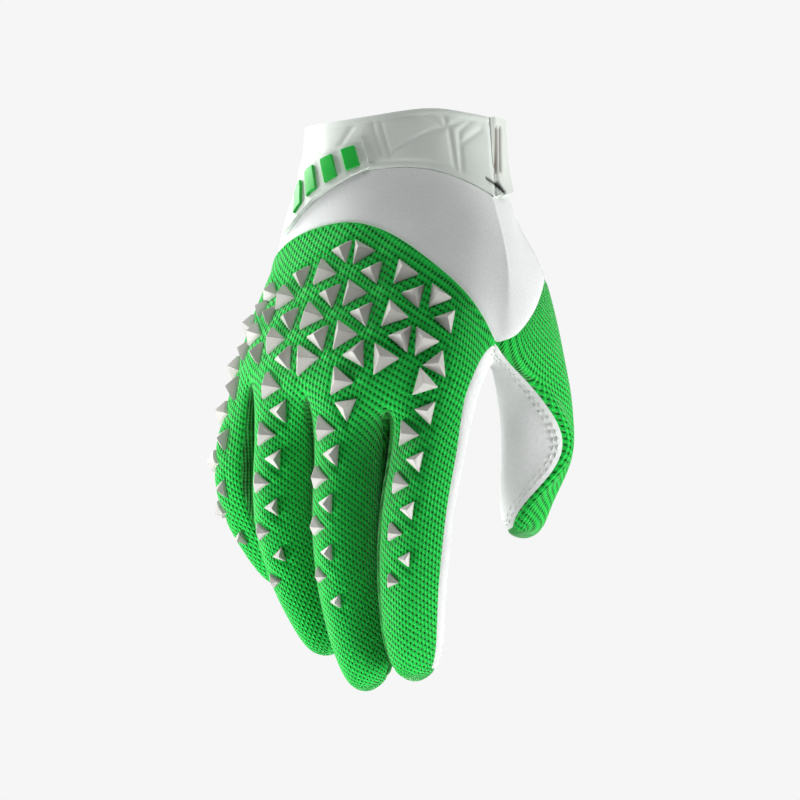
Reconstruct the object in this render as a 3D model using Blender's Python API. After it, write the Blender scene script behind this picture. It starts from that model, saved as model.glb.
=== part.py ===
"""Motorcycle glove for the right hand, filled out as it is when worn.

The back of the hand faces -Y, the thumb side +X and the fingers -Z. The origin is the middle of the
wrist opening. One quad cage gives the surface of the whole glove. Each panel is the stretch of that
surface between its seams, given a wall of its own.
"""

import math
from collections import namedtuple

import bpy
import numpy as np
from mathutils import Vector
from mathutils.bvhtree import BVHTree

# Driving sizes of the hand, in metres
PALM_LENGTH = 0.0940
HAND_BREADTH = 0.0970
HAND_DEPTH = 0.0340
BACK_RISE = 0.0450
THUMB_LENGTH = 0.0720
THUMB_WIDTH = 0.0240
THUMB_DEPTH = 0.0250

# Walls and clearances
MESH_WALL = 0.0013
SUEDE_WALL = 0.0011
STRETCH_WALL = 0.0012
GUSSET_WALL = 0.0010
CUFF_WALL = 0.0024
TAB_WALL = 0.0016
BADGE_WALL = 0.0012
BAR_WALL = 0.0008
PIECE_GAP = 0.0003
# Largest share of the room under a tight fold that one wall takes
FOLD_SHARE = 0.36
# In a crease a wall is thinner where a face's normal agrees less than this with that of the point,
# and it keeps at least this share of its thickness
SQUARE_ENOUGH = 0.60
CREASE_SHARE = 0.25

# Rubber studs
STUD_SIDE = 0.0096
STUD_REACH = 0.0075
STUD_HEIGHT = 0.0030
STUD_SKIRT = 0.0005
STUD_PITCH = 0.0068
STUD_OFFSET = 0.0026
STUD_LIFT = 0.0012
AWAY_SIZE = 0.88

SUBDIVISIONS = 1

GREEN = (0.012, 0.42, 0.060)
DARK_GREEN = (0.006, 0.16, 0.030)
WHITE = (0.74, 0.75, 0.74)
SUEDE = (0.62, 0.64, 0.62)
GREY = (0.47, 0.49, 0.47)
STUD_GREY = (0.40, 0.42, 0.40)

# Sections of the hand from the wrist opening to the finger webs. The level is a share of PALM_LENGTH,
# the radial end a share of HAND_BREADTH, forward a share of BACK_RISE, the breadth a share of
# HAND_BREADTH, the depth a share of HAND_DEPTH and arch a share of the turns in ARCH.
Section = namedtuple("Section", "level radial_end forward breadth depth arch")
SECTIONS = (
    Section(-0.05, 0.315, 0.00, 0.645, 1.34, 0.16),
    Section(0.10, 0.320, 0.06, 0.655, 1.34, 0.18),
    Section(0.20, 0.328, 0.13, 0.675, 1.33, 0.22),
    Section(0.32, 0.350, 0.25, 0.760, 1.30, 0.34),
    Section(0.48, 0.415, 0.47, 0.885, 1.26, 0.55),
    Section(0.62, 0.385, 0.75, 0.960, 1.14, 0.80),
    Section(0.80, 0.300, 0.97, 1.000, 0.98, 1.00),
    Section(1.00, 0.240, 1.02, 1.000, 0.80, 1.00),
)

# Turn of the back of the hand away from the front, from the index side (0) to the little side (1)
Turn = namedtuple("Turn", "share degrees")
ARCH = (
    Turn(0.00, -6.0),
    Turn(0.14, 4.0),
    Turn(0.40, 20.0),
    Turn(0.52, 34.0),
    Turn(0.65, 46.0),
    Turn(0.88, 64.0),
    Turn(1.00, 72.0),
)

# Places of the grid lines across the hand, as shares of the breadth from the middle: spread is at the
# wrist and knuckle at the fingers. Even lines run to the webs and odd ones along the finger backs.
Line = namedtuple("Line", "spread knuckle")
BACK_LINES = (
    Line(-0.450, -0.462),
    Line(-0.350, -0.387),
    Line(-0.240, -0.273),
    Line(-0.125, -0.155),
    Line(-0.010, -0.036),
    Line(0.100, 0.093),
    Line(0.210, 0.222),
    Line(0.320, 0.360),
    Line(0.420, 0.450),
)
PALM_LINES = BACK_LINES
RADIAL_TURNS = (36.0, 18.0, 0.0, -18.0, -36.0)

# Heights of the rows along each back line, as shares of PALM_LENGTH below the opening, and the place
# of the arched seam across the hand as a share of HAND_BREADTH
Seam = namedtuple("Seam", "top hem seam across web")
BACK_ROWS = (
    Seam(0.040, 0.215, 0.565, -0.475, 0.930),
    Seam(0.030, 0.205, 0.460, -0.425, 0.900),
    Seam(0.020, 0.200, 0.387, -0.340, 0.880),
    Seam(0.008, 0.193, 0.350, -0.245, 0.930),
    Seam(-0.006, 0.184, 0.342, -0.155, 0.935),
    Seam(-0.018, 0.178, 0.385, -0.040, 0.985),
    Seam(-0.020, 0.184, 0.490, 0.085, 0.995),
    Seam(-0.005, 0.212, 0.625, 0.225, 1.005),
    Seam(0.006, 0.250, 0.800, 0.285, 0.985),
)
# The rows round the thumb side and over the palm, as (opening, hem) and (fold, web) shares
RADIAL_ROWS = ((0.010, 0.262), (0.014, 0.268), (0.018, 0.262), (0.020, 0.250), (0.022, 0.240))
PALM_OPENING = 0.026
PALM_HEM = 0.225
PALM_FOLD = (0.66, 0.66, 0.67, 0.68, 0.69, 0.71, 0.73, 0.76, 0.82)
PALM_WEB = (0.99, 0.995, 1.01, 1.03, 1.05, 1.065, 1.07, 1.065, 1.04)
ULNAR_ROWS = (0.035, 0.220, 0.60, 0.955)

# Mouth of the thumb: shares of HAND_BREADTH across, BACK_RISE forward and PALM_LENGTH down
Mouth = namedtuple("Mouth", "across forward down")
THUMB_MOUTH = (
    Mouth(0.350, 1.02, 0.780),
    Mouth(0.420, 0.82, 0.650),
    Mouth(0.475, 0.45, 0.480),
    Mouth(0.450, 0.06, 0.560),
    Mouth(0.375, -0.02, 0.690),
)
THUMB_WEB = Mouth(0.290, 0.66, 0.850)

# One finger each: places and widths in metres, turns in degrees about the finger's own axis.
# lean and curl are how far the tip has moved towards the thumb and towards the palm, mid_lean and
# mid_curl how far the middle of its length has.
# The seams of the back are turned away from its middle by left and right, also in degrees.
Finger = namedtuple(
    "Finger", "name length width depth root_turn tip_turn lean mid_lean curl mid_curl left right"
)
FINGERS = (
    Finger("little", 0.0560, 0.0205, 0.0200, 66.0, 66.0, 0.0130, -0.0045, 0.0170, 0.0000, 62.0, 58.0),
    Finger("ring", 0.0790, 0.0218, 0.0210, 42.0, 27.0, 0.0125, -0.0035, 0.0215, 0.0005, 62.0, 86.0),
    Finger("middle", 0.0905, 0.0225, 0.0216, 26.0, 23.0, 0.0048, -0.0034, 0.0215, 0.0000, 64.0, 90.0),
    Finger("index", 0.0870, 0.0230, 0.0222, 13.0, 16.0, -0.0060, -0.0062, 0.0150, -0.0036, 64.0, 66.0),
)
# Rings of a finger: shares of its length, width and depth, of its mid_lean, its lean and its curl
Ring = namedtuple("Ring", "share width depth mid tip curl")
FINGER_RINGS = (
    Ring(0.12, 1.03, 1.04, 0.35, 0.00, 0.00),
    Ring(0.32, 1.03, 1.02, 0.85, 0.03, 0.02),
    Ring(0.52, 0.98, 0.98, 1.00, 0.16, 0.14),
    Ring(0.70, 0.91, 0.92, 0.80, 0.44, 0.36),
    Ring(0.85, 0.83, 0.85, 0.40, 0.74, 0.64),
    Ring(0.95, 0.62, 0.67, 0.10, 0.94, 0.89),
)
TIP_BULGE = 0.22
# Share of a finger's length over which its tip swings back
TIP_SWING = 0.45
# Turn of the palm's seams on a finger from the middle of its back, in degrees
PALM_SEAM_TURN = 138.0

# Rings of the thumb: shares of THUMB_LENGTH down from the mouth, the middle's place across and
# forward as shares of THUMB_WIDTH, sizes as shares of THUMB_WIDTH and THUMB_DEPTH, and the turn of
# the front seam and of the back seam from the left side, in degrees
ThumbRing = namedtuple("ThumbRing", "share across forward width depth front back")
THUMB_ROOT = Mouth(0.330, 0.52, 0.690)
THUMB_RINGS = (
    ThumbRing(0.26, 0.34, -0.05, 1.02, 1.02, 75.0, -60.0),
    ThumbRing(0.42, 0.40, -0.20, 1.00, 1.00, 118.0, -75.0),
    ThumbRing(0.57, 0.42, -0.34, 1.03, 1.00, 142.0, -80.0),
    ThumbRing(0.71, 0.34, -0.44, 0.90, 0.90, 120.0, -75.0),
    ThumbRing(0.84, 0.26, -0.50, 0.68, 0.76, 72.0, -60.0),
    ThumbRing(0.95, 0.24, -0.52, 0.50, 0.58, 40.0, -45.0),
)
THUMB_TIP_BULGE = 0.16

# Where the strips of studs start under the seam, for back lines 1 to 7: the height as a share of
# PALM_LENGTH and the place across as a share of HAND_BREADTH. Each runs to its line at the webs.
StripStart = namedtuple("StripStart", "level across")
STRIP_STARTS = (
    StripStart(0.647, -0.478),
    StripStart(0.612, -0.440),
    StripStart(0.548, -0.356),
    StripStart(0.466, -0.221),
    StripStart(0.466, -0.119),
    StripStart(0.541, 0.021),
    StripStart(0.623, 0.129),
)
WEB_LEVEL = 0.92

# Strips of studs. first is the height of the first stud as a share of PALM_LENGTH and step, a share
# of STUD_PITCH, is the way to the next. tip is 1 where the first stud points to the thumb side and -1
# where it points away. The sizes of the first and last studs are shares of STUD_SIDE. start, middle
# and end are how far the strip's ends and its middle stand towards the thumb from its line, in metres.
Strip = namedtuple("Strip", "field line first count step tip first_size last_size start middle end")
STRIPS = (
    Strip("knuckle_studs", 2, 0.608, 4, 0.94, 1, 0.68, 0.80, 0.0008, 0.0006, 0.0012),
    Strip("knuckle_studs", 3, 0.548, 5, 1.00, -1, 0.84, 0.90, 0.0, 0.0018, 0.0040),
    Strip("knuckle_studs", 4, 0.466, 6, 1.01, -1, 0.88, 1.00, 0.0, 0.0012, 0.0032),
    Strip("knuckle_studs", 5, 0.466, 6, 0.97, 1, 0.86, 1.00, 0.0006, 0.0006, 0.0010),
    Strip("knuckle_studs", 6, 0.541, 5, 0.99, 1, 0.90, 1.00, 0.0, 0.0, -0.0004),
    Strip("knuckle_studs", 7, 0.623, 4, 1.03, 1, 0.84, 0.96, 0.0, -0.0016, -0.0030),
    Strip("little_studs", 1, 0.652, 4, 0.97, -1, 0.62, 0.78, -0.0016, 0.0, 0.0),
    Strip("little_studs", 1, 0.928, 7, 1.16, -1, 0.84, 0.56, 0.0, 0.0, 0.0010),
    Strip("ring_studs", 3, 0.920, 9, 1.13, 1, 0.86, 0.48, 0.0024, 0.0, -0.0012),
    Strip("middle_studs", 5, 0.906, 10, 1.13, 1, 0.90, 0.48, 0.0, -0.0046, -0.0034),
    Strip("index_studs", 7, 0.926, 9, 1.13, 1, 0.88, 0.48, -0.0028, -0.0030, -0.0020),
)

# Plate on the little-finger side of the cuff. Each row is one rib of its outline, from the thumb end to
# the pointed end: the place across as a share of HAND_BREADTH and the height as a share of
# PALM_LENGTH, at the upper and at the lower edge.
Rib = namedtuple("Rib", "top_across top_level low_across low_level")
PLATE = (
    Rib(-0.140, 0.088, -0.114, 0.184),
    Rib(-0.205, 0.108, -0.180, 0.215),
    Rib(-0.262, 0.135, -0.242, 0.252),
    Rib(-0.305, 0.168, -0.300, 0.290),
    Rib(-0.336, 0.218, -0.345, 0.335),
    Rib(-0.368, 0.300, -0.378, 0.378),
    Rib(-0.402, 0.392, -0.402, 0.404),
)
PLATE_BARS = ((0.06, 0.17), (0.25, 0.36), (0.44, 0.55), (0.63, 0.74))
BAR_EDGES = (0.16, 0.84)
TAB_COLUMNS = range(9, 17)

SIDES = 2.4


def cage_ring(wanted):
    """The cage points of a closed ring whose smooth surface passes through the points that are wanted."""
    count = len(wanted)
    weights = np.zeros((count, count))
    for i in range(count):
        weights[i, i] = 4 / 6
        weights[i, (i + 1) % count] = 1 / 6
        weights[i, i - 1] = 1 / 6
    return [Vector(point) for point in np.linalg.solve(weights, np.array(wanted))]


def smooth_between(table, key, value, column):
    """Reads a column of a table at a value of its key column, along a smooth curve."""
    keys = [getattr(row, key) for row in table]
    values = [getattr(row, column) for row in table]
    if value <= keys[0]:
        return values[0]
    if value >= keys[-1]:
        return values[-1]
    at = max(i for i, start in enumerate(keys[:-1]) if start <= value)
    span = keys[at + 1] - keys[at]
    share = (value - keys[at]) / span

    def slope(i):
        low, high = max(i - 1, 0), min(i + 1, len(keys) - 1)
        return (values[high] - values[low]) / (keys[high] - keys[low])

    rise = values[at + 1] - values[at]
    start, end = slope(at) * span, slope(at + 1) * span
    square, cube = share**2, share**3
    return (
        values[at]
        + rise * (3 * square - 2 * cube)
        + start * (share - 2 * square + cube)
        + end * (cube - square)
    )


def section_middle(level, across):
    """The middle of the hand's thickness at a share of the breadth, with its outward direction."""
    breadth = smooth_between(SECTIONS, "level", level, "breadth") * HAND_BREADTH
    arch = smooth_between(SECTIONS, "level", level, "arch")
    x = smooth_between(SECTIONS, "level", level, "radial_end") * HAND_BREADTH
    y = -smooth_between(SECTIONS, "level", level, "forward") * BACK_RISE
    steps = 24
    share = 0.5 - across
    for step in range(steps):
        here = share * (step + 0.5) / steps
        turn = math.radians(smooth_between(ARCH, "share", here, "degrees")) * arch
        x -= math.cos(turn) * breadth * share / steps
        y += math.sin(turn) * breadth * share / steps
    turn = math.radians(smooth_between(ARCH, "share", share, "degrees")) * arch
    outward = Vector((-math.sin(turn), -math.cos(turn), 0))
    return Vector((x, y, -level * PALM_LENGTH)), outward


def hand_point(level, across, side):
    """A point on the hand: side 1 is the back, -1 the palm and 0 the edge."""
    middle, outward = section_middle(level, across)
    depth = smooth_between(SECTIONS, "level", level, "depth") * HAND_DEPTH
    rise = max(0.0, 1 - abs(2 * across) ** SIDES) ** (1 / SIDES)
    return middle + outward * (side * rise * depth / 2)


def hand_edge_point(level, degrees):
    """A point round the radial edge: 0 is the edge itself and 90 would be the back."""
    turn = math.radians(degrees)
    across = 0.5 * math.cos(turn) ** (2 / SIDES)
    middle, outward = section_middle(level, across)
    depth = smooth_between(SECTIONS, "level", level, "depth") * HAND_DEPTH
    rise = abs(math.sin(turn)) ** (2 / SIDES) * (1 if turn > 0 else -1)
    return middle + outward * (rise * depth / 2)


def across_at(level, x):
    """The share of the breadth at which the back of the hand stands at this x."""
    low, high = -0.5, 0.5
    for _ in range(30):
        middle = (low + high) / 2
        if hand_point(level, middle, 1).x < x:
            low = middle
        else:
            high = middle
    return (low + high) / 2


def mouth_point(mouth):
    return Vector((mouth.across * HAND_BREADTH, -mouth.forward * BACK_RISE, -mouth.down * PALM_LENGTH))


def mixed(low, high, share):
    return low + (high - low) * share


def back_column(index):
    """The points of one line down the back of the hand, from the opening to the web."""
    line, rows = BACK_LINES[index], BACK_ROWS[index]
    points = [
        hand_point(rows.top, line.spread, 1),
        hand_point(mixed(rows.top, rows.hem, 0.5), line.spread, 1),
        hand_point(rows.hem, line.spread, 1),
    ]
    seam_across = across_at(rows.seam, rows.across * HAND_BREADTH)
    points.append(hand_point(mixed(rows.hem, rows.seam, 0.5), mixed(line.spread, seam_across, 0.45), 1))
    points.append(hand_point(rows.seam, seam_across, 1))
    for share in (0.36, 0.70):
        level = mixed(rows.seam, rows.web, share)
        points.append(hand_point(level, mixed(seam_across, line.knuckle, min(1.0, share * 1.5)), 1))
    points.append(hand_point(rows.web, line.knuckle, 1))
    return points


def palm_column(index):
    line = PALM_LINES[index]
    fold, web = PALM_FOLD[index], PALM_WEB[index]
    points = [
        hand_point(PALM_OPENING, line.spread, -1),
        hand_point(mixed(PALM_OPENING, PALM_HEM, 0.5), line.spread, -1),
        hand_point(PALM_HEM, line.spread, -1),
        hand_point(mixed(PALM_HEM, fold, 0.5), mixed(line.spread, line.knuckle, 0.4), -1),
        hand_point(fold, mixed(line.spread, line.knuckle, 0.8), -1),
    ]
    for share in (0.36, 0.70):
        points.append(hand_point(mixed(fold, web, share), line.knuckle, -1))
    points.append(hand_point(web, line.knuckle, -1))
    return points


def ulnar_column():
    top, hem, fold, web = ULNAR_ROWS
    levels = [top, mixed(top, hem, 0.5), hem, mixed(hem, fold, 0.5), fold]
    levels += [mixed(fold, web, 0.36), mixed(fold, web, 0.70), web]
    return [hand_point(level, -0.5, 0) for level in levels]


def radial_column(index):
    """A line on the thumb side, from the opening to the mouth of the thumb."""
    top, hem = RADIAL_ROWS[index]
    mouth = THUMB_MOUTH[index]
    degrees = RADIAL_TURNS[index]
    points = [hand_edge_point(level, degrees) for level in (top, mixed(top, hem, 0.5), hem)]
    between = mixed(hem, mouth.down, 0.5)
    points.append(hand_edge_point(between, degrees))
    points.append(mouth_point(mouth))
    return points


def finger_frame(finger, share):
    """Directions of a finger at a share of its length: towards the thumb side and out of its back."""
    turn = math.radians(mixed(finger.root_turn, finger.tip_turn, share))
    outward = Vector((-math.sin(turn), -math.cos(turn), 0))
    across = Vector((math.cos(turn), -math.sin(turn), 0))
    return across, outward


def finger_middle(finger, root, ring):
    return Vector(
        (
            root.x + finger.mid_lean * ring.mid + finger.lean * ring.tip,
            root.y + finger.mid_curl * ring.mid + finger.curl * ring.curl,
            root.z - finger.length * ring.share,
        )
    )


def finger_root(index):
    """The middle of a finger at the web, on the middle line of the hand's thickness."""
    across = BACK_LINES[2 * index + 1].knuckle
    return section_middle(1.0, across)[0]


def finger_ring(finger, root, ring):
    middle = finger_middle(finger, root, ring)
    across, outward = finger_frame(finger, ring.share)
    half_width = finger.width * ring.width / 2
    half_depth = finger.depth * ring.depth / 2
    drop = math.sin(math.atan2(finger.curl * ring.curl, finger.length * TIP_SWING))
    right_side = (finger.right + PALM_SEAM_TURN) / 2
    left_side = (finger.left + PALM_SEAM_TURN) / 2
    turns = (-finger.left, 0, finger.right, right_side)
    turns += (PALM_SEAM_TURN, 180, -PALM_SEAM_TURN, -left_side)
    points = []
    for degrees in turns:
        turn = math.radians(degrees)
        out = math.cos(turn) * half_depth
        point = middle + across * math.sin(turn) * half_width + outward * out
        point.z -= out * drop
        points.append(point)
    return cage_ring(points)


def thumb_ring(ring):
    root = mouth_point(THUMB_ROOT)
    middle = Vector(
        (
            root.x + ring.across * THUMB_WIDTH,
            root.y - ring.forward * THUMB_WIDTH,
            root.z - ring.share * THUMB_LENGTH,
        )
    )
    half_width = THUMB_WIDTH * ring.width / 2
    half_depth = THUMB_DEPTH * ring.depth / 2
    turns = [mixed(ring.front, 360 + ring.back, step / 6) for step in range(7)]
    turns.append((ring.front + ring.back) / 2)
    points = []
    for degrees in turns:
        turn = math.radians(degrees)
        points.append(middle + Vector((-math.cos(turn) * half_width, -math.sin(turn) * half_depth, 0)))
    return cage_ring(points)


class Cage:
    """Collects points and quads, each quad with the panel that it belongs to."""

    def __init__(self):
        self.points = []
        self.quads = []
        self.panels = []

    def add(self, point):
        self.points.append(point)
        return len(self.points) - 1

    def add_all(self, points):
        return [self.add(point) for point in points]

    def quad(self, a, b, c, d, panel):
        self.quads.append((a, b, c, d))
        self.panels.append(PANELS.index(panel))

    def band(self, upper, lower, panels, closed=True):
        """Joins two rows of points, one panel name for each quad."""
        count = len(upper) if closed else len(upper) - 1
        for i in range(count):
            j = (i + 1) % len(upper)
            self.quad(upper[i], lower[i], lower[j], upper[j], panels[i])

    def cap(self, ring, middle, panels):
        """Closes a ring of eight with four quads round a middle point."""
        top = self.add(middle)
        for i in range(4):
            a, b, c = ring[2 * i - 1], ring[2 * i], ring[(2 * i + 1) % 8]
            self.quad(top, c, b, a, panels[i])


PANELS = (
    "cuff",
    "cuff_under_tab",
    "wrist_panel",
    "back_mesh",
    "palm",
    "thumb_mesh",
    "thumb_suede",
    "fourchette_little_ring",
    "fourchette_ring_middle",
    "fourchette_middle_index",
)


def add_hand(cage):
    """The hand down to the webs. Returns the rows of point numbers that the fingers and thumb join."""
    back = [cage.add_all(back_column(i)) for i in range(9)]
    radial = [cage.add_all(radial_column(i)) for i in range(5)]
    palm = [cage.add_all(palm_column(i)) for i in range(9)]
    ulnar = cage.add_all(ulnar_column())
    web = cage.add(mouth_point(THUMB_WEB))
    columns = back + radial + palm[::-1] + [ulnar]
    white = ["wrist_panel"] * 11 + ["palm"] * 13
    cuff = ["cuff_under_tab" if i in TAB_COLUMNS else "cuff" for i in range(24)]
    for row in range(4):
        upper = [column[row] for column in columns]
        lower = [column[row + 1] for column in columns]
        cage.band(upper, lower, cuff if row < 2 else white)
    below = [column[4:] for column in back]
    side = [web] + cage.add_all(hand_point(level, 0.5, 0) for level in (0.91, 0.97, 1.02))
    below.append(side)
    below += [column[4:] for column in palm[::-1]]
    below.append(ulnar[4:])
    panels = ["back_mesh"] * 8 + ["palm"] * 11 + ["back_mesh"]
    for row in range(3):
        upper = [column[row] for column in below]
        lower = [column[row + 1] for column in below]
        cage.band(upper, lower, panels)
    last = [column[-1] for column in below]
    mouth = [back[8][4]] + [column[-1] for column in radial] + [palm[8][4], web]
    return last, mouth


def add_fingers(cage, last):
    """Four fingers on the last row of the hand, which runs over the back, the radial side and the palm."""
    back = last[:9]
    radial_side = last[9]
    palm = last[10:19][::-1]
    ulnar_side = last[19]
    webs = []
    for gap in range(1, 4):
        middle = (cage.points[back[2 * gap]] + cage.points[palm[2 * gap]]) / 2
        webs.append(cage.add(middle + Vector((0, 0, 0.0035))))
    gussets = [name for name in PANELS if name.startswith("fourchette")]
    for index, finger in enumerate(FINGERS):
        left = ulnar_side if index == 0 else webs[index - 1]
        right = radial_side if index == 3 else webs[index]
        ring = list(back[2 * index : 2 * index + 3]) + [right]
        ring += [palm[2 * index + 2], palm[2 * index + 1], palm[2 * index], left]
        left_panel = "palm" if index == 0 else gussets[index - 1]
        right_panel = "palm" if index == 3 else gussets[index]
        outer = "back_mesh" if index == 0 else left_panel
        panels = ["back_mesh"] * 2 + [right_panel] * 2 + ["palm"] * 2 + [left_panel, outer]
        root = finger_root(index)
        for section in FINGER_RINGS:
            lower = cage.add_all(finger_ring(finger, root, section))
            cage.band(ring, lower, panels)
            ring = lower
        end = FINGER_RINGS[-1]._replace(share=1.0, curl=1.0, tip=1.0, mid=0.0)
        tip = finger_middle(finger, root, end)
        tip.z -= finger.width * TIP_BULGE / 2
        cage.cap(ring, tip, ["back_mesh", "back_mesh", "palm", "palm"])


def add_thumb(cage, mouth):
    panels = ["thumb_mesh"] * 6 + ["thumb_suede"] * 2
    ring = mouth
    for section in THUMB_RINGS:
        lower = cage.add_all(thumb_ring(section))
        cage.band(ring, lower, panels)
        ring = lower
    points = [cage.points[i] for i in ring]
    middle = sum(points, Vector()) / len(points)
    middle.z -= THUMB_WIDTH * THUMB_TIP_BULGE
    cage.cap(ring, middle, ["thumb_mesh"] * 4)


def glove_cage():
    cage = Cage()
    last, mouth = add_hand(cage)
    add_fingers(cage, last)
    add_thumb(cage, mouth)
    return cage


def clear_scene():
    for thing in list(bpy.data.objects):
        bpy.data.objects.remove(thing, do_unlink=True)


def material(name, colour, roughness):
    made = bpy.data.materials.new(name)
    made.use_nodes = True
    shader = made.node_tree.nodes["Principled BSDF"]
    shader.inputs["Base Color"].default_value = (*colour, 1)
    shader.inputs["Roughness"].default_value = roughness
    return made


def smooth_surface(cage):
    """The whole glove's outer surface as points, normals and quads with their panel numbers."""
    mesh = bpy.data.meshes.new("cage")
    mesh.from_pydata(cage.points, [], cage.quads)
    for name in PANELS:
        mesh.materials.append(bpy.data.materials.new(name + "_guide"))
    mesh.polygons.foreach_set("material_index", cage.panels)
    guide = bpy.data.objects.new("cage", mesh)
    guide.hide_render = True
    guide.display_type = "WIRE"
    bpy.context.scene.collection.objects.link(guide)
    rounding = guide.modifiers.new("rounding", "SUBSURF")
    rounding.levels = SUBDIVISIONS
    rounding.render_levels = SUBDIVISIONS
    bpy.context.view_layer.update()
    evaluated = guide.evaluated_get(bpy.context.evaluated_depsgraph_get())
    surface = evaluated.to_mesh()
    points = [vertex.co.copy() for vertex in surface.vertices]
    normals = [vertex.normal.copy() for vertex in surface.vertices]
    quads = [(tuple(face.vertices), face.material_index) for face in surface.polygons]
    evaluated.to_mesh_clear()
    return points, normals, quads


def object_from(name, points, faces, look):
    mesh = bpy.data.meshes.new(name)
    mesh.from_pydata(points, [], faces)
    mesh.materials.append(look)
    mesh.validate()
    mesh.shade_smooth()
    mesh.set_sharp_from_angle(angle=math.radians(50))
    made = bpy.data.objects.new(name, mesh)
    bpy.context.scene.collection.objects.link(made)
    return made


def edge_pull(ways):
    """The way in from a panel's edge that clears both of the sides that meet at a point."""
    pull = sum((way for way, _ in ways), Vector())
    together = 1 + ways[0][0].dot(ways[-1][0])
    if pull.length < 0.3 or together < 0.2:
        return sum((way for _, way in ways), Vector()).normalized() * 3
    return pull / together if len(ways) == 2 else pull.normalized()


def wall_from(name, surface, skin, members, wall, look, proud=0.0):
    """A panel with thickness: its outer skin, an inner skin a wall below it and the rims between."""
    points, normals, quads = surface
    faces = [quad for quad, panel in quads if panel in members]
    sides = {}
    for face in faces:
        for a, b in zip(face, face[1:] + face[:1]):
            sides[(a, b)] = face
    rims = [side for side in sides if side[::-1] not in sides]
    inward = {}
    for a, b in rims:
        face = sides[(a, b)]
        along = (points[b] - points[a]).normalized()
        for i, step in ((a, -1), (b, 1)):
            beside = points[face[(face.index(i) + step) % len(face)]]
            way = (beside - points[i]).normalized()
            inward.setdefault(i, []).append(((way - along * way.dot(along)).normalized(), way))
    used = sorted({i for face in faces for i in face})
    number = {old: new for new, old in enumerate(used)}
    outer, inner = [], []
    for i in used:
        place = points[i].copy()
        if i in inward:
            place += edge_pull(inward[i]) * (PIECE_GAP * 0.6)
        outer.append(place + normals[i] * proud)
        thickness = skin.wall_at(i, points[i], normals[i], wall)
        inner.append(place + normals[i] * (proud - thickness))
    count = len(used)
    made = [tuple(number[i] for i in face) for face in faces]
    made += [tuple(number[i] + count for i in reversed(face)) for face in faces]
    for a, b in rims:
        made += rim_faces(number[a], number[b], count, a < b)
    return object_from(name, outer + inner, made, look)


def rim_faces(a, b, count, forward):
    """The rim under one edge, cut along the same diagonal as its neighbour's rim."""
    if forward:
        return [(b, a, a + count), (b, a + count, b + count)]
    return [(b, a, b + count), (a, a + count, b + count)]


def closed_sheet(name, top, bottom, faces, look):
    """A closed body between two like sets of points: faces are those of the top, seen from outside."""
    sides = {side for face in faces for side in zip(face, face[1:] + face[:1])}
    count = len(top)
    made = list(faces) + [tuple(i + count for i in reversed(face)) for face in faces]
    for a, b in sides:
        if (b, a) not in sides:
            made.append((b, a, a + count, b + count))
    return object_from(name, top + bottom, made, look)


class Skin:
    """The outer surface of the glove, for pieces that lie on it."""

    def __init__(self, surface):
        points, normals, quads = surface
        self.tree = BVHTree.FromPolygons(points, [quad for quad, _ in quads])
        self.square = [1.0] * len(points)
        for quad, _ in quads:
            a, b, c, d = (points[i] for i in quad)
            facing = (c - a).cross(d - b).normalized()
            for i in quad:
                self.square[i] = min(self.square[i], facing.dot(normals[i]))

    def wall_at(self, i, point, normal, wall):
        """The thickness of a wall at one point: less in a sharp crease and under a tight fold."""
        crease = min(1.0, max(self.square[i] / SQUARE_ENOUGH, CREASE_SHARE))
        return min(wall * crease, self.room_below(point, normal) * FOLD_SHARE)

    def from_outside(self, middle, outward, reach=0.04):
        """The point met on the way in from outside towards a middle."""
        return self.tree.ray_cast(middle + outward * reach, -outward, reach)[0]

    def room_below(self, point, normal, reach=0.02):
        """How far the skin on the other side is from a point of the skin."""
        start = point - normal * PIECE_GAP
        distance = self.tree.ray_cast(start, -normal, reach)[3]
        return reach if distance is None else distance

    def nearest(self, point):
        place, normal, _, _ = self.tree.find_nearest(point)
        return place, normal


def strip_middle(strip, level):
    """The middle of the hand or finger under a strip of studs, with the direction out of the back."""
    line, start = BACK_LINES[strip.line], STRIP_STARTS[strip.line - 1]
    if level <= WEB_LEVEL:
        across = across_at(start.level, start.across * HAND_BREADTH)
        share = (level - start.level) / (WEB_LEVEL - start.level)
        return section_middle(level, mixed(across, line.knuckle, max(0.0, share)))
    if level <= 1 or strip.line % 2 == 0:
        return section_middle(level, line.knuckle)
    finger = FINGERS[strip.line // 2]
    share = (level - 1) * PALM_LENGTH / finger.length
    table = (Ring(0.0, 1, 1, 0.0, 0.0, 0.0), *FINGER_RINGS)
    values = [smooth_between(table, "share", share, column) for column in Ring._fields]
    middle = finger_middle(finger, finger_root(strip.line // 2), Ring(*values))
    return middle, finger_frame(finger, share)[1]


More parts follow.
